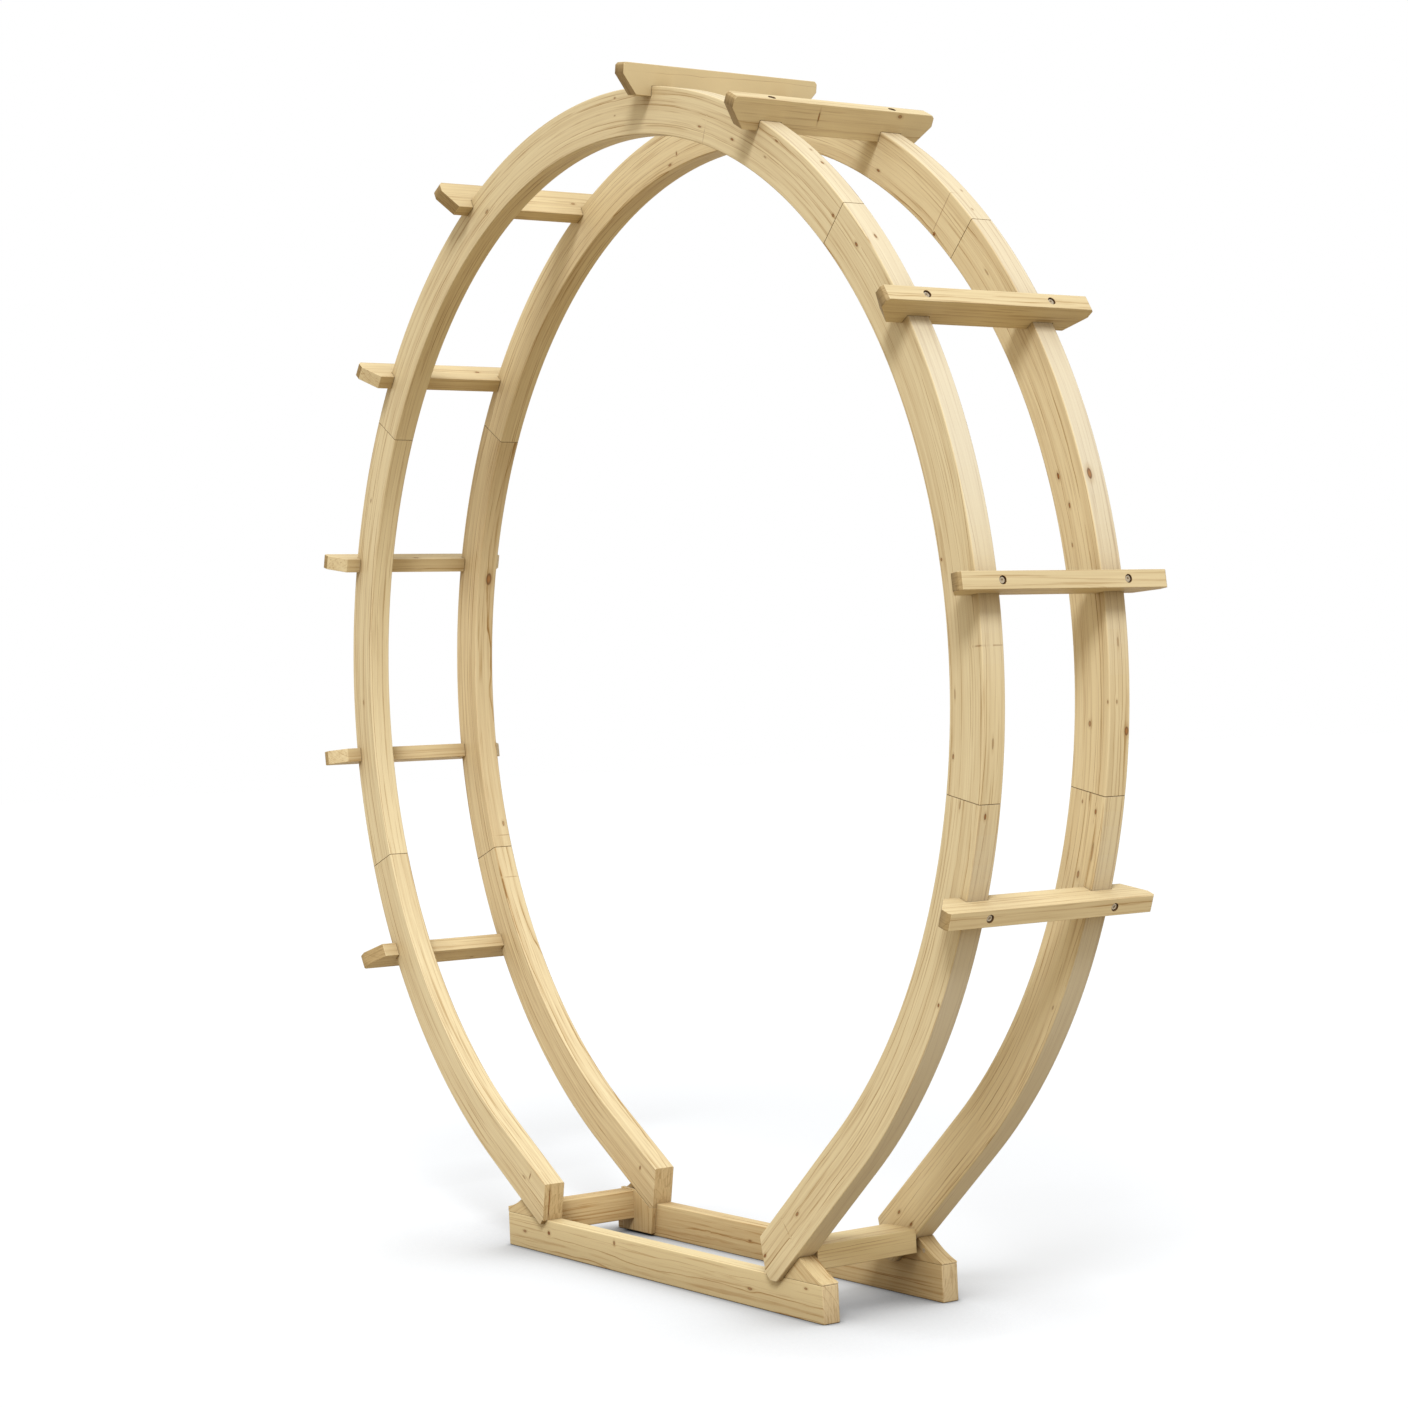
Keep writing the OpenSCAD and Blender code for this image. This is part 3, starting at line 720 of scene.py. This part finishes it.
def wood(name, pale, dark, spacing=0.0056, lines=1.0, sawn=(END_PALE, END_DARK)):
    """Planed softwood: growth rings round a heart, fibres, knots, checks and glued seams, with
    painted shade under cover and in screw holes, and painted light on the rings' outer faces.

    spacing is from one growth ring to the next, lines is how dark they are, and sawn is the
    pale and the dark colour of the end grain.
    """
    g = Graph(bpy.data.materials.new(name))
    grain = g.attribute("grain", "Vector")
    mark = g.attribute("mark", "Vector")
    far = g.vector("LENGTH", mark)
    late = growth_rings(g, grain, mark, far, spacing)
    fibre = g.noise(grain, *FIBRE)
    shade = planed_shade(g, grain, late, fibre, lines)
    colour = g.mix(g.clamped(shade), pale, dark)
    colour = g.mix(g.clamped(g.math("SUBTRACT", shade, LINE_FROM)), colour, LINE)
    # Pale streaks along the grain: partly the wood's own figure, partly painted sheen.
    pale_streak_and_sheen = g.ramp(g.noise(grain, *PALE_STREAK_AND_SHEEN), (0.58, 0.0), (0.70, 0.55))
    colour = g.mix(pale_streak_and_sheen, colour, pale)

    end = g.math("SUBTRACT", 1.0, g.fade(g.attribute("end", "Fac"), *END_SLANT))
    colour = g.mix(end, colour, g.mix(sawn_shade(g, grain, late, shade), *sawn))
    painted_light = g.attribute("painted_light", "Fac")
    # Painted light on the rings' outer faces that turn up, and painted bounce light on those that
    # turn down.
    colour = g.mix(g.math("MULTIPLY", painted_light, 0.6), colour, PAINTED_LIGHT)

    # far is 1 at the edge of a knot.
    strength = g.attribute("mark_strength", "Fac")
    halo = g.math("MULTIPLY", g.fade(far, 0.9, 2.4), g.math("MULTIPLY", strength, 0.40))
    colour = g.mix(halo, colour, dark)
    core = g.math("MULTIPLY", g.fade(far, 0.72, 1.1), strength)
    colour = g.mix(core, colour, g.mix(g.fade(far, 0.25, 0.85), KNOT_RIM, KNOT))
    # Dark joints, and painted shade in the walls of screw holes; joints fade where painted light
    # is strong.
    seam_and_hole_shade = g.math("MULTIPLY", g.attribute("seam_and_hole_shade", "Fac"), g.fade(painted_light, 0.0, 1.2))
    colour = g.mix(seam_and_hole_shade, colour, SEAM_AND_HOLE_SHADE)
    # Painted shade: the colour darkens where other surfaces lie near, in corners, under and
    # between pieces.
    painted_shade_colour = g.vector("MULTIPLY", colour, PAINTED_SHADE_KEEPS)
    colour = g.mix(g.openness(PAINTED_SHADE_REACH, 1.0), painted_shade_colour, colour)

    height = g.math("SUBTRACT", g.math("MULTIPLY", fibre, 0.6), g.math("MULTIPLY", late, 0.5))
    height = g.math("SUBTRACT", height, g.math("MULTIPLY", core, 1.2))
    bump = g.fill_named(g.node("Bump"), Strength=0.22, Distance=0.0006, Height=height)
    g.fill_named(
        g.tree.nodes["Principled BSDF"], Base_Color=colour, Normal=bump.outputs[0],
        Roughness=g.math("MULTIPLY_ADD", fibre, 0.16, 0.50), Specular_IOR_Level=0.3)
    return g.owner


def steel(name):
    """Zinc-plated steel, dulled, with smudges and spots."""
    g = Graph(bpy.data.materials.new(name))
    place = g.node("TexCoord").outputs["Object"]
    smudge = g.noise(place, (420, 420, 420), 4, 0.6)
    spots = g.noise(place, (2600, 2600, 2600), 2, 0.5)
    worn = g.math("MULTIPLY", g.math("ADD", smudge, spots), 0.5)
    g.fill_named(
        g.tree.nodes["Principled BSDF"], Base_Color=g.mix(worn, ZINC_DARK, ZINC_PALE),
        Roughness=g.math("MULTIPLY_ADD", smudge, 0.25, 0.34), Metallic=0.3)
    return g.owner


ring_wood = wood("ring_wood", RING_PALE, RING_DARK, lines=1.4)
base_wood = wood(
    "base_wood", BASE_PALE, BASE_DARK, spacing=0.0064, lines=1.4,
    sawn=(BASE_END_PALE, BASE_END_DARK))
slat_wood = wood(
    "slat_wood", SLAT_PALE, SLAT_DARK, spacing=0.0060, lines=1.1,
    sawn=(SLAT_END_PALE, SLAT_END_DARK))
beech = wood("beech", BEECH_PALE, BEECH_DARK, spacing=0.004, lines=0.5)
zinc = steel("zinc")


# ---- rings ----
def ring_lad(y):
    """Map from a place in the ring at y to along, across from the inner edge, and depth."""
    lines = {hand: leg_angle(hand) for hand in SIGN}

    def lad(co):
        p = Vector((co.x, 0, co.z - RING_Z))
        angle = math.degrees(math.atan2(p.x, p.z))
        hand = "right" if angle > 0 else "left"
        turn = SIGN[hand]
        line = turn * lines[hand]
        past = turn * p.dot(along(line))
        if abs(angle) <= lines[hand] or past < 0:
            return (RING_MID * math.radians(angle), p.length - RING_IN, co.y - y)
        start = RING_MID * math.radians(line)
        return (start + turn * past, p.dot(radial(line)) - RING_IN, co.y - y)
    return lad


def ring_direction(co):
    """Direction of the grain in a ring piece at a place in it."""
    angle = math.degrees(math.atan2(co.x, co.z - RING_Z))
    hand = "right" if angle > 0 else "left"
    limit = leg_angle(hand)
    return along(max(-limit, min(limit, angle)))


def ring_section(origin, out, inset=0.0):
    outline = rounded_rect(RING_W, RING_T, RING_EASE, inset, across=LAYERS, up=2)
    return [origin + out * p + Y_AXIS * q for p, q in outline]


def arc_sections(a, b, y, open_end=False):
    """Sections of the ring from angle a to b, drawn in a little at each joint."""
    ease = math.degrees(JOINT_EASE / RING_MID)
    turn = 1 if b > a else -1
    count = max(2, round(abs(math.radians(b - a)) * RING_MID / STATION))
    first, last = a + turn * ease, b - turn * ease
    places = [first + (last - first) * i / count for i in range(count + 1)]
    rows = [ring_section(on_ring(a, RING_IN, y), radial(a), JOINT_EASE)]
    rows += [ring_section(on_ring(t, RING_IN, y), radial(t)) for t in places]
    if not open_end:
        rows.append(ring_section(on_ring(b, RING_IN, y), radial(b), JOINT_EASE))
    return rows


def ring_marks(side, a, b):
    """The marks of a ring that lie between two angles."""
    low, high = min(a, b), max(a, b)
    return [
        (on_ring(angle, RING_IN + across, FACE_Y[side] + depth), *rest)
        for angle, across, depth, *rest in RING_MARKS[side] if low < angle < high]


def ring_piece(side, name, a, b, seed):
    y = FACE_Y[side]
    marks = ring_marks(side, a, b)
    bm = loft(arc_sections(a, b, y))
    size = ((RING_MID * math.radians(a), RING_MID * math.radians(b)), RING_W, RING_T)
    timber = Timber(
        seed, ring_lad(y), ring_direction, size, LAYERS, marks=marks, knots=3,
        tone=RING_TONE.get((side, name), 0.0))
    timber.seams = size[0]
    wooden(f"{side}_{name}", bm, timber, ring_wood, [f"{side}_{name}"])


# How far a foot's cutters reach past it, down, up and out; the sections that a leg has to
# spare for them; and where its faces are split.
CUT_OVER = 60
CUT_LOW = -400
CUT_HIGH = 700
CUT_WIDE = 900
SPARE_SECTIONS = 3
FOOT_CELLS = (60, 200)


def leg(side, hand, joint, tip_cut, seed):
    """A leg from its joint down the circle and straight on to its foot, which is cut."""
    y = FACE_Y[side]
    marks = ring_marks(side, joint, SIGN[hand] * 180)
    for x, depth, z, *rest in LEG_MARKS.get((side, hand), ()):
        marks.append((Vector((x, y + depth, z)), *rest))
    turn = SIGN[hand]
    line = turn * leg_angle(hand)
    rows = arc_sections(joint, line, y, open_end=True)
    run = (RING_Z + RING_R * math.cos(math.radians(line))) / math.sin(math.radians(abs(line)))
    start = on_ring(line, RING_IN, y)
    for i in range(1, round(run / STATION) + SPARE_SECTIONS):
        rows.append(ring_section(start + along(line) * turn * STATION * i, radial(line)))
    bm = loft(rows)
    wide = turn * CUT_WIDE
    low_x, high_x = min(0, wide), max(0, wide)
    before, behind = y - CUT_OVER, y + RING_T + CUT_OVER
    end_outline = (
        (0, CUT_LOW), (turn * foot_x(hand, CUT_LOW), CUT_LOW),
        (turn * foot_x(hand, CUT_HIGH), CUT_HIGH), (0, CUT_HIGH))

    def place(p, q, t):
        return Vector((p, before + t, q))
    cutters = [
        box_between((low_x, y + FOOT_LIP, CUT_LOW), (high_x, behind, BEARER_H)),
        box_between((low_x, before, CUT_LOW), (high_x, behind, LAP_Z)),
        prism(end_outline, place, behind - before)]
    if tip_cut:
        x = turn * (foot_x(hand, BEARER_H) + FOOT_LAP * math.tan(math.radians(FOOT_TILT)))
        reach = FOOT_TIP_CUT
        diamond = ((x - reach, LAP_Z), (x, LAP_Z - reach), (x + reach, LAP_Z), (x, LAP_Z + reach))
        cutters.append(prism(diamond, place, behind - before))
    bm = cut_away(bm, cutters)
    ease_edges(bm, CUT_EASE)
    split_faces(bm, Z_AXIS, *FOOT_CELLS, CELL_WIDE)
    a = RING_MID * math.radians(joint)
    b = RING_MID * math.radians(line) + turn * run
    size = ((min(a, b), max(a, b)), RING_W, RING_T)
    timber = Timber(
        seed, ring_lad(y), ring_direction, size, LAYERS, marks=marks, knots=2,
        tone=RING_TONE.get((side, f"leg_{hand}"), 0.0))
    timber.seams = (a,)
    name = f"{side}_leg_{hand}"
    wooden(name, bm, timber, ring_wood, [name])


# ---- straight pieces ----
def straight_timber(seed, axis, across, depth, origin, size, lean=BOARD_LEAN, **rest):
    """Grain that runs straight along an axis from an origin."""
    def lad(co):
        p = co - origin
        return (p.dot(axis), p.dot(across), p.dot(depth))
    return Timber(seed, lad, lambda co: axis, size, lean=lean, **rest)


def split_block(bm, low, high):
    """Splits a block's faces into cells small enough to carry one mark each."""
    for axis, i in ((X_AXIS, 0), (Y_AXIS, 1), (Z_AXIS, 2)):
        is_long = high[i] - low[i] > LONG_SIDE
        split_faces(bm, axis, low[i], high[i], CELL_LONG if is_long else CELL_WIDE)


def bearer(side, seed):
    y = FACE_Y[side] + FOOT_LIP
    marks = [(Vector((x, y, z)), *rest) for x, z, *rest in BEARER_MARKS[side]]
    low = (BASE_SHIFT - BEARER_LEN / 2, y, 0)
    high = (BASE_SHIFT + BEARER_LEN / 2, y + BEARER_T, BEARER_H)
    bm = box_between(low, high)
    ease_edges(bm, BASE_EASE, turns=3)
    split_block(bm, low, high)
    size = ((0, BEARER_LEN), BEARER_H, BEARER_T)
    timber = straight_timber(
        seed, X_AXIS, Z_AXIS, Y_AXIS, Vector(low), size, lean=BEARER_LEAN, marks=marks,
        knots=4, tone=BEARER_TONE_AND_SHADE[side])
    wooden(f"{side}_bearer", bm, timber, base_wood, [f"{side}_bearer"])


def wedge(side, hand, seed):
    """Wedge in the corner outside a leg, with a top that dips along an arc."""
    turn = SIGN[hand]
    y = FACE_Y[side] + FOOT_LIP
    foot = Vector((foot_out(hand), BEARER_H))
    top = BEARER_H + WEDGE_H[hand]
    peak = Vector((leg_out_x(hand, top), top))
    heel = Vector((turn * BASE_SHIFT + BEARER_LEN / 2, BEARER_H))
    tip = Vector((heel.x, BEARER_H + WEDGE_TIP[hand]))
    span = (tip - peak).length
    slope = (tip - peak) / span
    normal = Vector((-slope.y, slope.x))
    steps = 14
    outline = [foot, heel, tip]
    for i in range(1, steps):
        share = 1 - i / steps
        dip = WEDGE_DIP * (1 - (2 * share - 1) ** 2)
        outline.append(peak + slope * span * share - normal * dip)
    outline.append(peak)
    bm = prism(outline, lambda p, q, t: Vector((turn * p, y + t, q)), BEARER_T)
    ease_edges(bm, CUT_EASE)
    if (side, hand) == ("rear", "right"):
        bm = cut_away(bm, [pin_hole()])
    ends = sorted((turn * foot.x, turn * tip.x))
    split_block(bm, (ends[0], y, BEARER_H), (ends[1], y + BEARER_T, top))
    size = ((0, span), WEDGE_H[hand], BEARER_T)
    axis = Vector((turn * slope.x, 0, slope.y))
    origin = Vector((turn * peak.x, y, peak.y))
    up = Vector((turn * normal.x, 0, normal.y))
    timber = straight_timber(
        seed, axis, up, Y_AXIS, origin, size, knots=0, tone=WEDGE_TONE[side])
    name = f"{side}_wedge_{hand}"
    wooden(name, bm, timber, base_wood, [name])


HOLE_OVER = 5


def pin_hole():
    """Cutter for the sunk head of the small screw in the rear right wedge."""
    start = FACE_Y["rear"] + FOOT_LIP - HOLE_OVER

    def place(p, q, t):
        return Vector((PIN["x"] + p, start + t, PIN["z"] + q))
    return prism(circle(PIN["sink_d"], 32), place, HOLE_OVER + PIN["head_h"])


def full_turn(count):
    return [2 * math.pi * i / count for i in range(count)]


def circle(diameter, count):
    return [(diameter / 2 * math.cos(a), diameter / 2 * math.sin(a)) for a in full_turn(count)]


def rail(hand, place, seed):
    low = Vector((place["x"], -RING_GAP / 2, place["z"]))
    outline = rounded_rect(place["w"], place["h"], BASE_EASE, across=3, up=3)
    stations = 8
    bm = loft([
        [low + Vector((p, RING_GAP * i / stations, q)) for p, q in outline]
        for i in range(stations + 1)])
    size = ((0, RING_GAP), place["w"], place["h"])
    timber = straight_timber(
        seed, Y_AXIS, X_AXIS, Z_AXIS, low, size, knots=1, back=0, tone=RAIL_TONE_AND_SHADE[hand])
    name = f"cross_rail_{hand}"
    wooden(name, bm, timber, base_wood, [name])


def foot_plate(seed):
    """Plate beside the rear left foot, on the bearer's front face."""
    y = FACE_Y["rear"]
    x0 = LEFT_RAIL["x"] - PLATE_MARGIN
    top = LEFT_RAIL["z"] + LEFT_RAIL["h"] + PLATE_MARGIN
    outline = (
        (x0, PLATE_LIFT), (-foot_x("left", PLATE_LIFT), PLATE_LIFT),
        (-foot_x("left", LAP_Z), LAP_Z), (-leg_out_x("left", LAP_Z), LAP_Z),
        (-leg_out_x("left", top), top), (x0, top))
    bm = prism(outline, lambda p, q, t: Vector((p, y + t, q)), FOOT_LIP)
    ease_edges(bm, CUT_EASE)
    split_block(bm, (x0, y, PLATE_LIFT), (PLATE_RIGHT, y + FOOT_LIP, top))
    size = ((0, top), PLATE_BOARD, FOOT_LIP)
    timber = straight_timber(
        seed, Z_AXIS, X_AXIS, Y_AXIS, Vector((x0, y, PLATE_LIFT)), size, lean=PLATE_LEAN,
        knots=0, tone=BEARER_TONE_AND_SHADE["rear"] / 2)
    wooden("foot_plate", bm, timber, base_wood, ["foot_plate"])


# ---- slats ----
def slat_outline():
    """Side view of a slat, as places along Y and along the ring's radius."""
    end = SLAT_LEN / 2
    outer = RING_GAP / 2 + RING_T + NOTCH_CLEAR
    inner = RING_GAP / 2 - NOTCH_CLEAR
    half = [
        (end - SLAT_CORNER, SLAT_OUT), (end, SLAT_OUT - SLAT_CORNER),
        (end, SLAT_IN + SLAT_BEVEL_H), (end - SLAT_BEVEL_LEN, SLAT_IN),
        (outer, SLAT_IN), (outer, RING_R), (inner, RING_R), (inner, SLAT_IN)]
    return half + [(-y, r) for y, r in reversed(half)]


# How near an edge's ends lie to the rim of a screw hole, and the height from the rings'
# centre above which a slat is seen from below.
RIM_NEAR = 0.05
SEEN_FROM_BELOW = -100


def slat(number, angle, seed):
    """A slat across both rings, with its screw holes, at an angle from the top."""
    out, side = radial(angle), along(angle)
    centre = Vector((0, 0, RING_Z))

    def place(y, r, t):
        return centre + out * r + side * (t - SLAT_T / 2) + Y_AXIS * y

    def from_screw(p):
        """Distance of a place from the nearer screw's axis; p starts at the rings' centre."""
        return min(math.hypot(p.dot(side), p.y - y) for y in screw_ys())

    def is_rim(edge):
        for v in edge.verts:
            p = v.co - centre
            off_rim = abs(from_screw(p) - SCREW_SINK_D / 2)
            if abs(p.dot(out) - SLAT_OUT) > RIM_NEAR or off_rim > RIM_NEAR:
                return False
        return True

    def in_hole(co):
        p = co - centre
        is_near = from_screw(p) < SCREW_SINK_D / 2 + RIM_EASE
        return is_near and p.dot(out) < SLAT_OUT - RIM_EASE / 10

    bm = prism(slat_outline(), place, SLAT_T)
    ease_edges(bm, SLAT_EASE, turns=3)
    sink = SCREW_RECESS + SCREW_HEAD_H
    holes = []
    for y in screw_ys():
        start = centre + out * (SLAT_OUT - sink) + Y_AXIS * y
        holes.append(prism(
            circle(SCREW_SINK_D, 40),
            lambda p, q, t, start=start: start + out * t + side * p + Y_AXIS * q,
            sink + HOLE_OVER))
    bm = cut_away(bm, holes)
    ease_edges(bm, RIM_EASE, wanted=is_rim)
    split_faces(bm, Y_AXIS, -SLAT_LEN / 2, SLAT_LEN / 2, CELL_LONG)

    marks = []
    for at, across, *rest in SLAT_MARKS.get(number, ()):
        marks.append((place(at - SLAT_LEN / 2, SLAT_IN + across, SLAT_T), *rest))
    is_high = SLAT_OUT * out.z > SEEN_FROM_BELOW
    timber = straight_timber(
        seed, Y_AXIS, out, side, place(-SLAT_LEN / 2, SLAT_IN, 0),
        ((0, SLAT_LEN), SLAT_W, SLAT_T), marks=marks, knots=1, back=(angle < 0) == is_high,
        tone=SLAT_TONE.get(number, 0.0))
    timber.end_power = PLANED_POWER if number in PLANED_BEVELS else 1
    name = f"slat_{number}"
    wooden(name, bm, timber, slat_wood, [name], sunk=in_hole)


def screw_ys():
    return [FACE_Y[side] + RING_T / 2 for side in SIDES]


# ---- screws ----
SCREW_SIDES = 48
HEAD_FOOT = 0.3
HEAD_EDGE = 0.4
HEAD_ROUND = 1.1
SOCKET_EASE = 0.4
SOCKET_DEPTH = (0.45, 0.35)


def add_screw(bm, place, length):
    """A screw with a rounded head and a hexagon socket; place maps x, y and height."""
    def hexagon(a):
        sector = math.pi / 3
        return SCREW_SOCKET / 2 / math.cos((a % sector) - sector / 2)
    turn = full_turn(SCREW_SIDES)
    head, shank, top = SCREW_HEAD_D / 2, SCREW_D / 2, SCREW_HEAD_H
    profile = (
        (lambda a: shank / 5, -length), (lambda a: shank, SCREW_D - length),
        (lambda a: shank, 0.0), (lambda a: head - HEAD_FOOT, 0.0), (lambda a: head, HEAD_EDGE),
        (lambda a: head, top - 1.0), (lambda a: head - 0.35, top - 0.35),
        (lambda a: head - HEAD_ROUND, top), (lambda a: hexagon(a) + SOCKET_EASE, top),
        (hexagon, top - SOCKET_EASE), (hexagon, top * SOCKET_DEPTH[0]),
        (lambda a: 0.3, top * SOCKET_DEPTH[1]))
    add_skin(bm, [
        [place(radius(a) * math.cos(a), radius(a) * math.sin(a), height) for a in turn]
        for radius, height in profile])


def metal_piece(name, bm, node):
    bmesh.ops.recalc_face_normals(bm, faces=bm.faces)
    obj = object_from(bm, name)
    obj.data.transform(Matrix.Scale(MM, 4))
    obj.data.polygons.foreach_set("use_smooth", [True] * len(obj.data.polygons))
    obj.data.set_sharp_from_angle(angle=SCREW_SHARP_ANGLE)
    obj.data.materials.append(zinc)
    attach(obj, "root")
    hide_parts(node)


def slat_screws():
    bm = bmesh.new()
    seat = SLAT_OUT - SCREW_RECESS - SCREW_HEAD_H
    length = seat - RING_R + SCREW_IN_RING
    for angle in SLAT_ANGLES:
        out, side = radial(angle), along(angle)
        for y in screw_ys():
            def place(p, q, h, y=y, out=out, side=side):
                return Vector((0, y + q, RING_Z)) + out * (seat + h) + side * p
            add_screw(bm, place, length)
    metal_piece("slat_screws", bm, "slat_screws")


# ---- everything ----
def build_rings():
    seed = RING_SEED
    for side in SIDES:
        upper = JOINT_UPPER_RIGHT[side]
        pieces = (
            ("side_left", JOINT_LOWER_LEFT, JOINT_UPPER_LEFT),
            ("crown", JOINT_UPPER_LEFT, upper),
            ("side_right", upper, JOINT_LOWER_RIGHT))
        for name, a, b in pieces:
            seed += 1
            ring_piece(side, name, a, b, seed)
        for hand, joint in (("left", JOINT_LOWER_LEFT), ("right", JOINT_LOWER_RIGHT)):
            seed += 1
            leg(side, hand, joint, (side, hand) != ("rear", "left"), seed)


def build_base():
    seed = BASE_SEED
    for side in SIDES:
        seed += 1
        bearer(side, seed)
        for hand in SIGN:
            seed += 1
            wedge(side, hand, seed)
    rail("right", RIGHT_RAIL, RAIL_SEED["right"])
    rail("left", LEFT_RAIL, RAIL_SEED["left"])
    foot_plate(PLATE_SEED)


def build_slats():
    for number, angle in enumerate(SLAT_ANGLES, 1):
        slat(number, angle, SLAT_SEED + number)


def finish_hidden():
    """Gives the screws and dowels that stay as the frame's own objects their materials."""
    looks = {
        "leg_screws": zinc, "wedge_screws": zinc, "wedge_pin_screw": zinc,
        "front_ring_dowels": beech, "rear_ring_dowels": beech, "rail_dowels": beech}
    for node, material in looks.items():
        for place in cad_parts[node].material_slots:
            place.material = material


def build_stage():
    """Pale floor that glows a little, with painted shade under cover, and throws back warm light.
    """
    bm = bmesh.new()
    bmesh.ops.create_grid(bm, x_segments=2, y_segments=2, size=FLOOR_REACH)
    floor = object_from(bm, "floor")
    g = Graph(bpy.data.materials.new("floor"))
    g.tree.nodes.remove(g.tree.nodes["Principled BSDF"])
    open_share = g.math("MULTIPLY", *[g.openness(*reach) for reach in FLOOR_CONTACT])
    pale = g.node("BsdfDiffuse", g.scaled(FLOOR_SEEN, open_share))
    glow = g.node("Emission", FLOOR_GLOW_TINT, g.math("MULTIPLY", open_share, FLOOR_GLOW))
    seen = g.node("AddShader", pale.outputs[0], glow.outputs[0])
    bounce = g.node("BsdfDiffuse", FLOOR_BOUNCE)
    share = g.seen_by("Is Camera Ray", "Is Glossy Ray", "Is Transmission Ray")
    blend = g.node("MixShader", share, bounce.outputs[0], seen.outputs[0])
    g.fill(g.tree.nodes["Material Output"], blend.outputs[0])
    floor.data.materials.append(g.owner)


# ---- light and camera ----
FLOOR_REACH = 60
FLOOR_SEEN = (0.53, 0.54, 0.55)
# The floor's shade under cover: pairs of a distance in metres and a power.
FLOOR_CONTACT = ((0.015, 0.8), (0.35, 0.9))
FLOOR_GLOW = 0.51
FLOOR_GLOW_TINT = (0.985, 1.0, 1.02, 1)
FLOOR_BOUNCE = (0.34, 0.265, 0.155, 1)
SKY = 0.60
SKY_TINT = (1.0, 0.97, 0.92, 1)
KEY = 0.60 * math.pi
KEY_TINT = (0.97, 1.0, 1.05)
KEY_FROM = Vector((0.56, -0.45, 0.70))
KEY_SPREAD = math.radians(18)


def build_light():
    """Light from all round, white to the camera, and one soft lamp."""
    world = bpy.data.worlds.new("studio")
    bpy.context.scene.world = world
    g = Graph(world)
    sky = g.fill(g.tree.nodes["Background"], SKY_TINT, SKY)
    white = g.node("Background", (1, 1, 1, 1))
    share = g.seen_by("Is Camera Ray", "Is Transmission Ray")
    blend = g.node("MixShader", share, sky.outputs[0], white.outputs[0])
    g.fill(g.tree.nodes["World Output"], blend.outputs[0])
    lamp = bpy.data.lights.new("key", "SUN")
    lamp.energy = KEY
    lamp.color = KEY_TINT
    lamp.angle = KEY_SPREAD
    sun = bpy.data.objects.new("key", lamp)
    sun.rotation_euler = KEY_FROM.to_track_quat("Z", "Y").to_euler()
    bpy.context.scene.collection.objects.link(sun)


CAMERA_AT = Vector((4.6727, -2.9990, 1.0474))
CAMERA_YAW = 0.992767
CAMERA_PITCH = 0.008714
CAMERA_ROLL = -0.0449075
FOCAL_PIXELS = 2853.87
FRAME_PIXELS = 1408
SENSOR = 36


def build_camera():
    """Camera at the photo's viewing angle: yaw from +Y towards -X, pitch up, and roll."""
    yaw, pitch, roll = CAMERA_YAW, CAMERA_PITCH, CAMERA_ROLL
    ahead = Vector((
        -math.sin(yaw) * math.cos(pitch), math.cos(yaw) * math.cos(pitch), math.sin(pitch)))
    level = Vector((math.cos(yaw), math.sin(yaw), 0))
    up = level.cross(ahead)
    right = level * math.cos(roll) + up * math.sin(roll)
    top = up * math.cos(roll) - level * math.sin(roll)
    data = bpy.data.cameras.new("camera")
    data.sensor_width = SENSOR
    data.lens = FOCAL_PIXELS * SENSOR / FRAME_PIXELS
    camera = bpy.data.objects.new("camera", data)
    turn = Matrix((right, top, -ahead)).transposed().to_4x4()
    camera.matrix_world = Matrix.Translation(CAMERA_AT) @ turn
    bpy.context.scene.collection.objects.link(camera)
    bpy.context.scene.camera = camera


bpy.context.scene.view_settings.view_transform = "Standard"
build_camera()
build_light()
build_stage()
build_rings()
build_base()
build_slats()
slat_screws()
finish_hidden()
